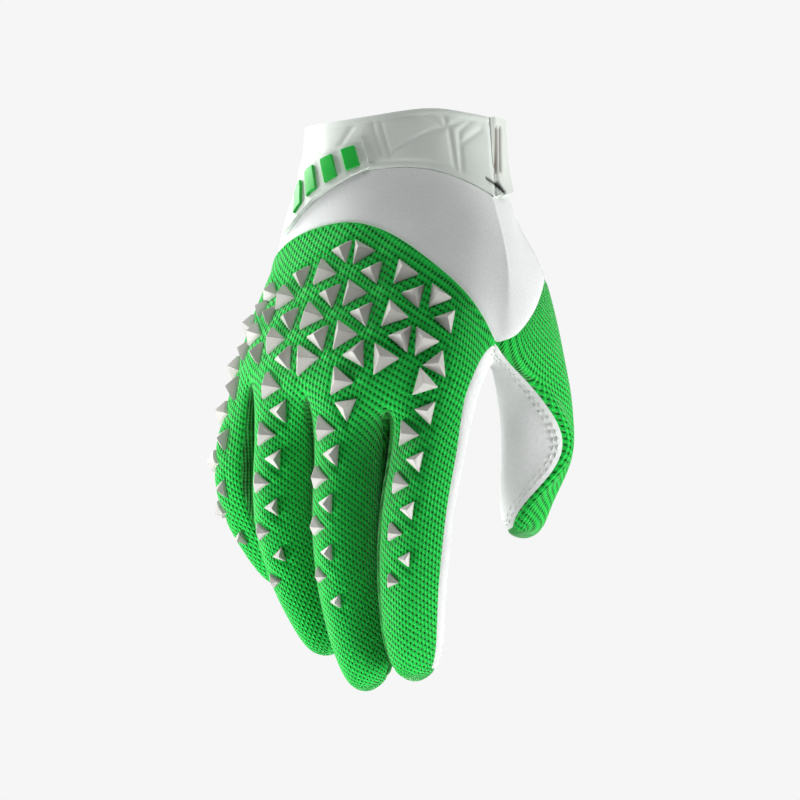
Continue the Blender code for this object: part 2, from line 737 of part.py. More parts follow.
def stud_feet(skin, strip, number):
    """The outline and the middle of one stud's foot on the skin, the way out of it and its size."""
    level = strip.first + number * strip.step * STUD_PITCH / PALM_LENGTH
    place = skin.from_outside(*strip_middle(strip, level))
    below = skin.from_outside(*strip_middle(strip, level + 0.04))
    down = (below - place).normalized()
    across = strip_middle(strip, level)[1].cross(down).normalized()
    share = number / (strip.count - 1)
    bow = strip.middle - (strip.start + strip.end) / 2
    place += across * (mixed(strip.start, strip.end, share) + bow * 4 * share * (1 - share))
    tip = strip.tip if number % 2 == 0 else -strip.tip
    size = mixed(strip.first_size, strip.last_size, share)
    if tip < 0:
        size *= AWAY_SIZE
    middle, outward = skin.nearest(place - across * tip * STUD_OFFSET)
    across = outward.cross(down).normalized()
    down = across.cross(outward).normalized()
    half, reach = down * size * STUD_SIDE / 2, across * tip * size * STUD_REACH / 3
    corners = [middle + reach * 2, middle - reach - half, middle - reach + half]
    if tip < 0:
        corners.reverse()
    outline = []
    for i in range(3):
        start, end = corners[i], corners[(i + 1) % 3]
        outline += [start, start.lerp(end, 1 / 3), start.lerp(end, 2 / 3)]
    feet = [skin.from_outside(point - outward * 0.010, outward, 0.020) for point in [*outline, middle]]
    return feet, outward, size


def stud_field(name, skin, look):
    """All studs of one field, joined by short runners into one body."""
    points, faces, seats = [], [], []
    for strip in (strip for strip in STRIPS if strip.field == name):
        for number in range(strip.count):
            feet, outward, size = stud_feet(skin, strip, number)
            base = len(points)
            foot = [point + outward * STUD_LIFT for point in feet]
            rim = [point + outward * STUD_SKIRT for point in foot[:9]]
            peak = (rim[0] + rim[3] + rim[6]) / 3 + outward * STUD_HEIGHT * size
            points += [*foot, *rim, peak]
            for i in range(9):
                j = (i + 1) % 9
                faces.append((base + 9, base + j, base + i))
                faces.append((base + 10 + i, base + 10 + j, base + 19))
                wall = (base + i, base + j, base + 10 + j, base + 10 + i)
                if i % 3 == 1:
                    seats.append((len(seats) // 3, wall))
                else:
                    faces.append(wall)
    bridges = runners(points, seats)
    used = {wall for bridge in bridges for wall in bridge}
    faces += [wall for _, wall in seats if wall not in used]
    for first, second in bridges:
        other = (second[1], second[0], second[3], second[2])
        for i in range(4):
            j = (i + 1) % 4
            a, b, c, d = first[i], first[j], other[j], other[i]
            faces += [(a, b, c), (a, c, d)] if i < 2 else [(a, b, d), (b, c, d)]
    return object_from(name, points, faces, look)


def runners(points, seats):
    """The shortest set of pairs of facing walls that joins every stud to the others."""

    def middle(wall):
        return sum((points[i] for i in wall), Vector()) / 4

    def facing(wall):
        return (points[wall[1]] - points[wall[0]]).cross(points[wall[3]] - points[wall[0]]).normalized()

    pairs = []
    for i, (stud, wall) in enumerate(seats):
        for other_stud, other in seats[i + 1 :]:
            if stud == other_stud:
                continue
            way = middle(other) - middle(wall)
            if facing(wall).dot(way) > 0 > facing(other).dot(way):
                straight = facing(wall).dot(way.normalized()) - facing(other).dot(way.normalized())
                turned = 1 + facing(wall).dot(facing(other))
                pairs.append((way.length * (1 + 4 * (2 - straight + turned)), stud, other_stud, wall, other))
    pairs.sort(key=lambda pair: pair[0])
    group = {stud: stud for stud, _ in seats}
    taken, bridges = set(), []
    for _, stud, other_stud, wall, other in pairs:
        if group[stud] == group[other_stud] or wall in taken or other in taken:
            continue
        bridges.append((wall, other))
        taken |= {wall, other}
        old, new = group[other_stud], group[stud]
        group = {key: new if value == old else value for key, value in group.items()}
    return bridges


def plate_point(share, edge):
    """A point on the cuff plate: share runs from its thumb end to its point, edge from top to bottom."""
    at = share * (len(PLATE) - 1)
    low = min(int(at), len(PLATE) - 2)
    first, second = PLATE[low], PLATE[low + 1]
    rib = [mixed(a, b, at - low) for a, b in zip(first, second)]
    across, level = mixed(rib[0], rib[2], edge), mixed(rib[1], rib[3], edge)
    return hand_point(level, across_at(level, across * HAND_BREADTH), 1)


def plate(name, skin, shares, edges, lift, wall, look):
    """A piece of sheet on the cuff plate's area, lifted off the skin."""
    top, bottom = [], []
    for share in shares:
        for edge in edges:
            place, normal = skin.nearest(plate_point(share, edge))
            bottom.append(place + normal * lift)
            top.append(place + normal * (lift + wall))
    width = len(edges)
    faces = []
    for i in range(len(shares) - 1):
        for j in range(width - 1):
            a = i * width + j
            faces.append((a, a + width, a + width + 1, a + 1))
    return closed_sheet(name, top, bottom, faces, look)


def spaced(low, high, count):
    return [mixed(low, high, i / (count - 1)) for i in range(count)]


def add_cuff_plate(skin, grey, green):
    lift = PIECE_GAP * 1.6
    plate("cuff_badge", skin, spaced(0, 1, 13), spaced(0, 1, 4), lift, BADGE_WALL, grey)
    lift += BADGE_WALL + PIECE_GAP
    for number, (start, end) in enumerate(PLATE_BARS, 1):
        name = f"cuff_badge_bar_{number}"
        plate(name, skin, spaced(start, end, 3), spaced(*BAR_EDGES, 4), lift, BAR_WALL, green)


def build():
    clear_scene()
    surface = smooth_surface(glove_cage())
    skin = Skin(surface)
    looks = {
        "cuff": (material("moulded_grey", GREY, 0.5), CUFF_WALL),
        "wrist_panel": (material("white_stretch", WHITE, 0.8), STRETCH_WALL),
        "back_mesh": (material("green_knit", GREEN, 0.85), MESH_WALL),
        "palm": (material("pale_palm", WHITE, 0.8), SUEDE_WALL),
        "thumb_mesh": (material("green_thumb_knit", GREEN, 0.85), MESH_WALL),
        "thumb_suede": (material("thumb_suede", SUEDE, 0.9), SUEDE_WALL),
    }
    gusset = material("green_gusset", DARK_GREEN, 0.8)
    for name in PANELS:
        look, wall = looks.get(name, (gusset, GUSSET_WALL))
        if name == "cuff_under_tab":
            continue
        members = {PANELS.index(name)}
        if name == "cuff":
            members.add(PANELS.index("cuff_under_tab"))
        wall_from(name, surface, skin, members, wall, look)
    tab_members = {PANELS.index("cuff_under_tab")}
    tab_look = material("strap_grey", GREY, 0.5)
    wall_from("cuff_tab", surface, skin, tab_members, TAB_WALL, tab_look, TAB_WALL + PIECE_GAP)
    rubber = material("stud_rubber", STUD_GREY, 0.45)
    for field in dict.fromkeys(strip.field for strip in STRIPS):
        stud_field(field, skin, rubber)
    add_cuff_plate(skin, looks["cuff"][0], looks["back_mesh"][0])


build()
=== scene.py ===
"""The motorcycle glove's looks: knit, stretch cloth, suede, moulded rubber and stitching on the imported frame.

Units are metres. The back of the hand faces -Y, the thumb side +X and the fingers -Z.
"""

import math
from collections import namedtuple

import bpy
import numpy as np
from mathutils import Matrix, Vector, noise
from mathutils.bvhtree import BVHTree
from mathutils.kdtree import KDTree


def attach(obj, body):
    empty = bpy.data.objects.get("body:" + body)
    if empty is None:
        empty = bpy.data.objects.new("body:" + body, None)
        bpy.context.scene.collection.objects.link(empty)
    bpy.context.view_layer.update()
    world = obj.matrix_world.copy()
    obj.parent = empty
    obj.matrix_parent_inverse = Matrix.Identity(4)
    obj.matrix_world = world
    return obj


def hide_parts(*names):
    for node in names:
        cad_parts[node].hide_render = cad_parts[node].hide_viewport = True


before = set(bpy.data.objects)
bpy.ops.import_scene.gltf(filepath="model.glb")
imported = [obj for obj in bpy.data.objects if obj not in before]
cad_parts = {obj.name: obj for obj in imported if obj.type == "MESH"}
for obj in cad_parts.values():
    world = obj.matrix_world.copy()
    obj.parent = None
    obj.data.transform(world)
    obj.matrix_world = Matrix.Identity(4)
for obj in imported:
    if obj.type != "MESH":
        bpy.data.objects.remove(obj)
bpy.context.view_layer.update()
LEVELS = 4

# Driving sizes of the hand, in metres
PALM_LENGTH = 0.0940
HAND_BREADTH = 0.0970
HAND_DEPTH = 0.0340
BACK_RISE = 0.0450
THUMB_LENGTH = 0.0720
THUMB_WIDTH = 0.0240
THUMB_DEPTH = 0.0250

# Walls and clearances
MESH_WALL = 0.0013
SUEDE_WALL = 0.0011
STRETCH_WALL = 0.0012
GUSSET_WALL = 0.0010
CUFF_WALL = 0.0024
BADGE_WALL = 0.0012
BAR_WALL = 0.0008
PIECE_GAP = 0.0003

# Rubber studs
STUD_SIDE = 0.0096
STUD_REACH = 0.0075
STUD_PITCH = 0.0068
STUD_OFFSET = 0.0026
AWAY_SIZE = 0.88

# Sections of the hand from the wrist opening to the finger webs. The level is a share of PALM_LENGTH,
# the radial end a share of HAND_BREADTH, forward a share of BACK_RISE, the breadth a share of
# HAND_BREADTH, the depth a share of HAND_DEPTH and arch a share of the turns in ARCH.
Section = namedtuple("Section", "level radial_end forward breadth depth arch")
SECTIONS = (
    Section(-0.05, 0.315, 0.00, 0.645, 1.34, 0.16),
    Section(0.10, 0.320, 0.06, 0.655, 1.34, 0.18),
    Section(0.20, 0.328, 0.13, 0.675, 1.33, 0.22),
    Section(0.32, 0.350, 0.25, 0.760, 1.30, 0.34),
    Section(0.48, 0.415, 0.47, 0.885, 1.26, 0.55),
    Section(0.62, 0.385, 0.75, 0.960, 1.14, 0.80),
    Section(0.80, 0.300, 0.97, 1.000, 0.98, 1.00),
    Section(1.00, 0.240, 1.02, 1.000, 0.80, 1.00),
)

# Turn of the back of the hand away from the front, from the index side (0) to the little side (1)
Turn = namedtuple("Turn", "share degrees")
ARCH = (
    Turn(0.00, -6.0),
    Turn(0.14, 4.0),
    Turn(0.40, 20.0),
    Turn(0.52, 34.0),
    Turn(0.65, 46.0),
    Turn(0.88, 64.0),
    Turn(1.00, 72.0),
)

# Places of the grid lines across the hand, as shares of the breadth from the middle: spread is at the
# wrist and knuckle at the fingers. Even lines run to the webs and odd ones along the finger backs.
Line = namedtuple("Line", "spread knuckle")
BACK_LINES = (
    Line(-0.450, -0.462),
    Line(-0.350, -0.387),
    Line(-0.240, -0.273),
    Line(-0.125, -0.155),
    Line(-0.010, -0.036),
    Line(0.100, 0.093),
    Line(0.210, 0.222),
    Line(0.320, 0.360),
    Line(0.420, 0.450),
)
RADIAL_TURNS = (36.0, 18.0, 0.0, -18.0, -36.0)

# Heights of the rows along each back line, as shares of PALM_LENGTH below the opening, and the place
# of the arched seam across the hand as a share of HAND_BREADTH
Seam = namedtuple("Seam", "top hem seam across web")
BACK_ROWS = (
    Seam(0.040, 0.215, 0.565, -0.475, 0.930),
    Seam(0.030, 0.205, 0.460, -0.425, 0.900),
    Seam(0.020, 0.200, 0.387, -0.340, 0.880),
    Seam(0.008, 0.193, 0.350, -0.245, 0.930),
    Seam(-0.006, 0.184, 0.342, -0.155, 0.935),
    Seam(-0.018, 0.178, 0.385, -0.040, 0.985),
    Seam(-0.020, 0.184, 0.490, 0.085, 0.995),
    Seam(-0.005, 0.212, 0.625, 0.225, 1.005),
    Seam(0.006, 0.250, 0.800, 0.285, 0.985),
)
# The rows round the thumb side and over the palm, as (opening, hem) and (fold, web) shares
RADIAL_ROWS = ((0.010, 0.262), (0.014, 0.268), (0.018, 0.262), (0.020, 0.250), (0.022, 0.240))
PALM_OPENING = 0.026
PALM_HEM = 0.225
PALM_FOLD = (0.66, 0.66, 0.67, 0.68, 0.69, 0.71, 0.73, 0.76, 0.82)
PALM_WEB = (0.99, 0.995, 1.01, 1.03, 1.05, 1.065, 1.07, 1.065, 1.04)
ULNAR_ROWS = (0.035, 0.220, 0.60, 0.955)
# Places of the two rows between the seam, or the fold of the palm, and the webs
ROWS_BELOW = (0.36, 0.70)

# Mouth of the thumb: shares of HAND_BREADTH across, BACK_RISE forward and PALM_LENGTH down
Mouth = namedtuple("Mouth", "across forward down")
THUMB_MOUTH = (
    Mouth(0.350, 1.02, 0.780),
    Mouth(0.420, 0.82, 0.650),
    Mouth(0.475, 0.45, 0.480),
    Mouth(0.450, 0.06, 0.560),
    Mouth(0.375, -0.02, 0.690),
)
THUMB_WEB = Mouth(0.290, 0.66, 0.850)

# One finger each: places and widths in metres, turns in degrees about the finger's own axis.
# lean and curl are how far the tip has moved towards the thumb and towards the palm, mid_lean and
# mid_curl how far the middle of its length has.
# The seams of the back are turned away from its middle by left and right, also in degrees.
Finger = namedtuple(
    "Finger", "name length width depth root_turn tip_turn lean mid_lean curl mid_curl left right"
)
FINGERS = (
    Finger("little", 0.0560, 0.0205, 0.0200, 66.0, 66.0, 0.0130, -0.0045, 0.0170, 0.0000, 62.0, 58.0),
    Finger("ring", 0.0790, 0.0218, 0.0210, 42.0, 27.0, 0.0125, -0.0035, 0.0215, 0.0005, 62.0, 86.0),
    Finger("middle", 0.0905, 0.0225, 0.0216, 26.0, 23.0, 0.0048, -0.0034, 0.0215, 0.0000, 64.0, 90.0),
    Finger("index", 0.0870, 0.0230, 0.0222, 13.0, 16.0, -0.0060, -0.0062, 0.0150, -0.0036, 64.0, 66.0),
)
# Rings of a finger: shares of its length, width and depth, of its mid_lean, its lean and its curl
Ring = namedtuple("Ring", "share width depth mid tip curl")
FINGER_RINGS = (
    Ring(0.12, 1.03, 1.04, 0.35, 0.00, 0.00),
    Ring(0.32, 1.03, 1.02, 0.85, 0.03, 0.02),
    Ring(0.52, 0.98, 0.98, 1.00, 0.16, 0.14),
    Ring(0.70, 0.91, 0.92, 0.80, 0.44, 0.36),
    Ring(0.85, 0.83, 0.85, 0.40, 0.74, 0.64),
    Ring(0.95, 0.62, 0.67, 0.10, 0.94, 0.89),
)
TIP_BULGE = 0.22
# Share of a finger's length over which its tip swings back
TIP_SWING = 0.45
# Turn of the palm's seams on a finger from the middle of its back, in degrees
PALM_SEAM_TURN = 138.0

# Rings of the thumb: shares of THUMB_LENGTH down from the mouth, the middle's place across and
# forward as shares of THUMB_WIDTH, sizes as shares of THUMB_WIDTH and THUMB_DEPTH, and the turn of
# the front seam and of the back seam from the left side, in degrees
ThumbRing = namedtuple("ThumbRing", "share across forward width depth front back")
THUMB_ROOT = Mouth(0.330, 0.52, 0.690)
THUMB_RINGS = (
    ThumbRing(0.26, 0.34, -0.05, 1.02, 1.02, 75.0, -60.0),
    ThumbRing(0.42, 0.40, -0.20, 1.00, 1.00, 118.0, -75.0),
    ThumbRing(0.57, 0.42, -0.34, 1.03, 1.00, 142.0, -80.0),
    ThumbRing(0.71, 0.34, -0.44, 0.90, 0.90, 120.0, -75.0),
    ThumbRing(0.84, 0.26, -0.50, 0.68, 0.76, 72.0, -60.0),
    ThumbRing(0.95, 0.24, -0.52, 0.50, 0.58, 40.0, -45.0),
)
THUMB_TIP_BULGE = 0.16

# Where the strips of studs start under the seam, for back lines 1 to 7: the height as a share of
# PALM_LENGTH and the place across as a share of HAND_BREADTH. Each runs to its line at the webs.
StripStart = namedtuple("StripStart", "level across")
STRIP_STARTS = (
    StripStart(0.647, -0.478),
    StripStart(0.612, -0.440),
    StripStart(0.548, -0.356),
    StripStart(0.466, -0.221),
    StripStart(0.466, -0.119),
    StripStart(0.541, 0.021),
    StripStart(0.623, 0.129),
)
WEB_LEVEL = 0.92

# Strips of studs. first is the height of the first stud as a share of PALM_LENGTH and step, a share
# of STUD_PITCH, is the way to the next. tip is 1 where the first stud points to the thumb side and -1
# where it points away. The sizes of the first and last studs are shares of STUD_SIDE. start, middle
# and end are how far the strip's ends and its middle stand towards the thumb from its line, in metres.
Strip = namedtuple("Strip", "field line first count step tip first_size last_size start middle end")
STRIPS = (
    Strip("knuckle_studs", 2, 0.608, 4, 0.94, 1, 0.68, 0.80, 0.0008, 0.0006, 0.0012),
    Strip("knuckle_studs", 3, 0.548, 5, 1.00, -1, 0.84, 0.90, 0.0, 0.0018, 0.0040),
    Strip("knuckle_studs", 4, 0.466, 6, 1.01, -1, 0.88, 1.00, 0.0, 0.0012, 0.0032),
    Strip("knuckle_studs", 5, 0.466, 6, 0.97, 1, 0.86, 1.00, 0.0006, 0.0006, 0.0010),
    Strip("knuckle_studs", 6, 0.541, 5, 0.99, 1, 0.90, 1.00, 0.0, 0.0, -0.0004),
    Strip("knuckle_studs", 7, 0.623, 4, 1.03, 1, 0.84, 0.96, 0.0, -0.0016, -0.0030),
    Strip("little_studs", 1, 0.652, 4, 0.97, -1, 0.62, 0.78, -0.0016, 0.0, 0.0),
    Strip("little_studs", 1, 0.928, 7, 1.16, -1, 0.84, 0.56, 0.0, 0.0, 0.0010),
    Strip("ring_studs", 3, 0.920, 9, 1.13, 1, 0.86, 0.48, 0.0024, 0.0, -0.0012),
    Strip("middle_studs", 5, 0.906, 10, 1.13, 1, 0.90, 0.48, 0.0, -0.0046, -0.0034),
    Strip("index_studs", 7, 0.926, 9, 1.13, 1, 0.88, 0.48, -0.0028, -0.0030, -0.0020),
)

# Plate on the little-finger side of the cuff. Each row is one rib of its outline, from the thumb end to
# the pointed end: the place across as a share of HAND_BREADTH and the height as a share of
# PALM_LENGTH, at the upper and at the lower edge.
Rib = namedtuple("Rib", "top_across top_level low_across low_level")
PLATE = (
    Rib(-0.140, 0.088, -0.114, 0.184),
    Rib(-0.205, 0.108, -0.180, 0.215),
    Rib(-0.262, 0.135, -0.242, 0.252),
    Rib(-0.305, 0.168, -0.300, 0.290),
    Rib(-0.336, 0.218, -0.345, 0.335),
    Rib(-0.368, 0.300, -0.378, 0.378),
    Rib(-0.402, 0.392, -0.402, 0.404),
)
PLATE_BARS = ((0.06, 0.17), (0.25, 0.36), (0.44, 0.55), (0.63, 0.74))
BAR_EDGES = (0.16, 0.84)
TAB_COLUMNS = range(9, 17)

# Squareness of the hand's section: 2 would be an ellipse
SIDES = 2.4


def cage_ring(wanted):
    """The cage points of a closed ring whose smooth surface passes through the points that are wanted."""
    count = len(wanted)
    weights = np.zeros((count, count))
    for i in range(count):
        weights[i, i] = 4 / 6
        weights[i, (i + 1) % count] = 1 / 6
        weights[i, i - 1] = 1 / 6
    return [Vector(point) for point in np.linalg.solve(weights, np.array(wanted))]


def smooth_between(table, key, value, column):
    """Reads a column of a table at a value of its key column, along a smooth curve."""
    keys = [getattr(row, key) for row in table]
    values = [getattr(row, column) for row in table]
    if value <= keys[0]:
        return values[0]
    if value >= keys[-1]:
        return values[-1]
    at = max(i for i, start in enumerate(keys[:-1]) if start <= value)
    span = keys[at + 1] - keys[at]
    share = (value - keys[at]) / span

    def slope(i):
        low, high = max(i - 1, 0), min(i + 1, len(keys) - 1)
        return (values[high] - values[low]) / (keys[high] - keys[low])

    rise = values[at + 1] - values[at]
    start, end = slope(at) * span, slope(at + 1) * span
    square, cube = share**2, share**3
    return (
        values[at]
        + rise * (3 * square - 2 * cube)
        + start * (share - 2 * square + cube)
        + end * (cube - square)
    )


def section_value(level, column):
    return smooth_between(SECTIONS, "level", level, column)


def section_middle(level, across):
    """The middle of the hand's thickness at a share of the breadth, with its outward direction."""
    breadth = section_value(level, "breadth") * HAND_BREADTH
    arch = section_value(level, "arch")
    x = section_value(level, "radial_end") * HAND_BREADTH
    y = -section_value(level, "forward") * BACK_RISE
    steps = 24
    share = 0.5 - across
    for step in range(steps):
        here = share * (step + 0.5) / steps
        turn = math.radians(smooth_between(ARCH, "share", here, "degrees")) * arch
        x -= math.cos(turn) * breadth * share / steps
        y += math.sin(turn) * breadth * share / steps
    turn = math.radians(smooth_between(ARCH, "share", share, "degrees")) * arch
    outward = Vector((-math.sin(turn), -math.cos(turn), 0))
    return Vector((x, y, -level * PALM_LENGTH)), outward


def hand_point(level, across, side):
    """A point on the hand: side 1 is the back, -1 the palm and 0 the edge."""
    middle, outward = section_middle(level, across)
    depth = section_value(level, "depth") * HAND_DEPTH
    rise = max(0.0, 1 - abs(2 * across) ** SIDES) ** (1 / SIDES)
    return middle + outward * (side * rise * depth / 2)


def hand_edge_point(level, degrees):
    """A point round the radial edge: 0 is the edge itself and 90 would be the back."""
    turn = math.radians(degrees)
    across = 0.5 * math.cos(turn) ** (2 / SIDES)
    middle, outward = section_middle(level, across)
    depth = section_value(level, "depth") * HAND_DEPTH
    rise = abs(math.sin(turn)) ** (2 / SIDES) * (1 if turn > 0 else -1)
    return middle + outward * (rise * depth / 2)


def across_at(level, x):
    """The share of the breadth at which the back of the hand stands at this x."""
    low, high = -0.5, 0.5
    for _ in range(30):
        middle = (low + high) / 2
        if hand_point(level, middle, 1).x < x:
            low = middle
        else:
            high = middle
    return (low + high) / 2


def mouth_point(mouth):
    return Vector((mouth.across * HAND_BREADTH, -mouth.forward * BACK_RISE, -mouth.down * PALM_LENGTH))


def mixed(low, high, share):
    return low + (high - low) * share


def back_column(index):
    """The points of one line down the back of the hand, from the opening to the web."""
    line, rows = BACK_LINES[index], BACK_ROWS[index]
    seam = across_at(rows.seam, rows.across * HAND_BREADTH)
    places = [(level, line.spread) for level in (rows.top, mixed(rows.top, rows.hem, 0.5), rows.hem)]
    places.append((mixed(rows.hem, rows.seam, 0.5), mixed(line.spread, seam, 0.45)))
    places.append((rows.seam, seam))
    for share in ROWS_BELOW:
        across = mixed(seam, line.knuckle, min(1.0, share * 1.5))
        places.append((mixed(rows.seam, rows.web, share), across))
    places.append((rows.web, line.knuckle))
    return [hand_point(*place, 1) for place in places]


def palm_column(index):
    line = BACK_LINES[index]
    fold, web = PALM_FOLD[index], PALM_WEB[index]
    levels = (PALM_OPENING, mixed(PALM_OPENING, PALM_HEM, 0.5), PALM_HEM)
    places = [(level, line.spread) for level in levels]
    places.append((mixed(PALM_HEM, fold, 0.5), mixed(line.spread, line.knuckle, 0.4)))
    places.append((fold, mixed(line.spread, line.knuckle, 0.8)))
    places += [(mixed(fold, web, share), line.knuckle) for share in ROWS_BELOW]
    places.append((web, line.knuckle))
    return [hand_point(*place, -1) for place in places]


def ulnar_column():
    top, hem, fold, web = ULNAR_ROWS
    levels = [top, mixed(top, hem, 0.5), hem, mixed(hem, fold, 0.5), fold]
    levels += [mixed(fold, web, share) for share in ROWS_BELOW] + [web]
    return [hand_point(level, -0.5, 0) for level in levels]


def radial_column(index):
    """A line on the thumb side, from the opening to the mouth of the thumb."""
    top, hem = RADIAL_ROWS[index]
    mouth = THUMB_MOUTH[index]
    degrees = RADIAL_TURNS[index]
    levels = (top, mixed(top, hem, 0.5), hem, mixed(hem, mouth.down, 0.5))
    return [hand_edge_point(level, degrees) for level in levels] + [mouth_point(mouth)]


def finger_frame(finger, share):
    """Directions of a finger at a share of its length: towards the thumb side and out of its back."""
    turn = math.radians(mixed(finger.root_turn, finger.tip_turn, share))
    outward = Vector((-math.sin(turn), -math.cos(turn), 0))
    across = Vector((math.cos(turn), -math.sin(turn), 0))
    return across, outward


def finger_middle(finger, root, ring):
    x = root.x + finger.mid_lean * ring.mid + finger.lean * ring.tip
    y = root.y + finger.mid_curl * ring.mid + finger.curl * ring.curl
    return Vector((x, y, root.z - finger.length * ring.share))


def finger_root(index):
    """The middle of a finger at the web, on the middle line of the hand's thickness."""
    across = BACK_LINES[2 * index + 1].knuckle
    return section_middle(1.0, across)[0]


def finger_ring(finger, root, ring):
    middle = finger_middle(finger, root, ring)
    across, outward = finger_frame(finger, ring.share)
    half_width = finger.width * ring.width / 2
    half_depth = finger.depth * ring.depth / 2
    drop = math.sin(math.atan2(finger.curl * ring.curl, finger.length * TIP_SWING))
    right_side = (finger.right + PALM_SEAM_TURN) / 2
    left_side = (finger.left + PALM_SEAM_TURN) / 2
    turns = (-finger.left, 0, finger.right, right_side)
    turns += (PALM_SEAM_TURN, 180, -PALM_SEAM_TURN, -left_side)
    points = []
    for degrees in turns:
        turn = math.radians(degrees)
        out = math.cos(turn) * half_depth
        point = middle + across * math.sin(turn) * half_width + outward * out
        point.z -= out * drop
        points.append(point)
    return cage_ring(points)


def thumb_ring(ring):
    root = mouth_point(THUMB_ROOT)
    x, y = root.x + ring.across * THUMB_WIDTH, root.y - ring.forward * THUMB_WIDTH
    middle = Vector((x, y, root.z - ring.share * THUMB_LENGTH))
    half_width = THUMB_WIDTH * ring.width / 2
    half_depth = THUMB_DEPTH * ring.depth / 2
    turns = [mixed(ring.front, 360 + ring.back, step / 6) for step in range(7)]
    turns.append((ring.front + ring.back) / 2)
    points = []
    for degrees in turns:
        turn = math.radians(degrees)
        points.append(middle + Vector((-math.cos(turn) * half_width, -math.sin(turn) * half_depth, 0)))
    return cage_ring(points)


class Cage:
    """Collects points and quads, each quad with the panel that it belongs to."""

    def __init__(self):
        self.points = []
        self.quads = []
        self.panels = []
        self.places = {}

    def add(self, point):
        self.points.append(point)
        return len(self.points) - 1

    def add_all(self, points):
        return [self.add(point) for point in points]

    def quad(self, a, b, c, d, panel):
        self.quads.append((a, b, c, d))
        self.panels.append(PANELS.index(panel))

    def band(self, upper, lower, panels, closed=True):
        """Joins two rows of points, one panel name for each quad."""
        count = len(upper) if closed else len(upper) - 1
        for i in range(count):
            j = (i + 1) % len(upper)
            self.quad(upper[i], lower[i], lower[j], upper[j], panels[i])

    def cap(self, ring, middle, panels):
        """Closes a ring of eight with four quads round a middle point."""
        top = self.add(middle)
        for i in range(4):
            a, b, c = ring[2 * i - 1], ring[2 * i], ring[(2 * i + 1) % 8]
            self.quad(top, c, b, a, panels[i])


PANELS = (
    "cuff",
    "cuff_under_tab",
    "wrist_panel",
    "back_mesh",
    "palm",
    "thumb_mesh",
    "thumb_suede",
    "fourchette_little_ring",
    "fourchette_ring_middle",
    "fourchette_middle_index",
)
STRIP_PANELS = PANELS[-3:]


def add_hand(cage):
    """The hand down to the webs. Returns the rows of point numbers that the fingers and thumb join."""
    back = [cage.add_all(back_column(i)) for i in range(9)]
    radial = [cage.add_all(radial_column(i)) for i in range(5)]
    palm = [cage.add_all(palm_column(i)) for i in range(9)]
    ulnar = cage.add_all(ulnar_column())
    web = cage.add(mouth_point(THUMB_WEB))
    columns = back + radial + palm[::-1] + [ulnar]
    white = ["wrist_panel"] * 11 + ["palm"] * 13
    cuff = ["cuff_under_tab" if i in TAB_COLUMNS else "cuff" for i in range(24)]
    for row in range(4):
        upper = [column[row] for column in columns]
        lower = [column[row + 1] for column in columns]
        cage.band(upper, lower, cuff if row < 2 else white)
    below = [column[4:] for column in back]
    side = [web] + cage.add_all(hand_point(level, 0.5, 0) for level in (0.91, 0.97, 1.02))
    below.append(side)
    below += [column[4:] for column in palm[::-1]]
    below.append(ulnar[4:])
    panels = ["back_mesh"] * 8 + ["palm"] * 11 + ["back_mesh"]
    for row in range(3):
        upper = [column[row] for column in below]
        lower = [column[row + 1] for column in below]
        cage.band(upper, lower, panels)
    for row in range(4):
        line = [column[row] for column in below]
        knit_place(cage, [line[19], *line[:10]], 5)
    last = [column[-1] for column in below]
    mouth = [back[8][4]] + [column[-1] for column in radial] + [palm[8][4], web]
    return last, mouth


def add_fingers(cage, last):
    """Four fingers on the last row of the hand, which runs over the back, the radial side and the palm."""
    back = last[:9]
    radial_side = last[9]
    palm = last[10:19][::-1]
    ulnar_side = last[19]
    webs = []
    for gap_shade in range(1, 4):
        middle = (cage.points[back[2 * gap_shade]] + cage.points[palm[2 * gap_shade]]) / 2
        webs.append(cage.add(middle + Vector((0, 0, 0.0035))))
    for index, finger in enumerate(FINGERS):
        left = ulnar_side if index == 0 else webs[index - 1]
        right = radial_side if index == 3 else webs[index]
        ring = list(back[2 * index : 2 * index + 3]) + [right]
        ring += [palm[2 * index + 2], palm[2 * index + 1], palm[2 * index], left]
        left_panel = "palm" if index == 0 else STRIP_PANELS[index - 1]
        right_panel = "palm" if index == 3 else STRIP_PANELS[index]
        outer = "back_mesh" if index == 0 else left_panel
        panels = ["back_mesh"] * 2 + [right_panel] * 2 + ["palm"] * 2 + [left_panel, outer]
        root = finger_root(index)
        start = cage.places[("back", ring[1])][0]
        for section in FINGER_RINGS:
            lower = cage.add_all(finger_ring(finger, root, section))
            cage.band(ring, lower, panels)
            ring = lower
            knit_place(cage, [ring[7], ring[0], ring[1], ring[2], ring[3]], 2, start)
        end = FINGER_RINGS[-1]._replace(share=1.0, curl=1.0, tip=1.0, mid=0.0)
        tip = finger_middle(finger, root, end)
        tip.z -= finger.width * TIP_BULGE / 2
        cage.cap(ring, tip, ["back_mesh", "back_mesh", "palm", "palm"])


def add_thumb(cage, mouth):
    panels = ["thumb_mesh"] * 6 + ["thumb_suede"] * 2
    ring = mouth
    knit_place(cage, ring[:7], 3, group="thumb")
    for section in THUMB_RINGS:
        lower = cage.add_all(thumb_ring(section))
        cage.band(ring, lower, panels)
        ring = lower
        knit_place(cage, ring[:7], 3, group="thumb")
    points = [cage.points[i] for i in ring]
    middle = sum(points, Vector()) / len(points)
    middle.z -= THUMB_WIDTH * THUMB_TIP_BULGE
    cage.cap(ring, middle, ["thumb_mesh"] * 4)


def glove_cage():
    cage = Cage()
    last, mouth = add_hand(cage)
    add_fingers(cage, last)
    add_thumb(cage, mouth)
    return cage


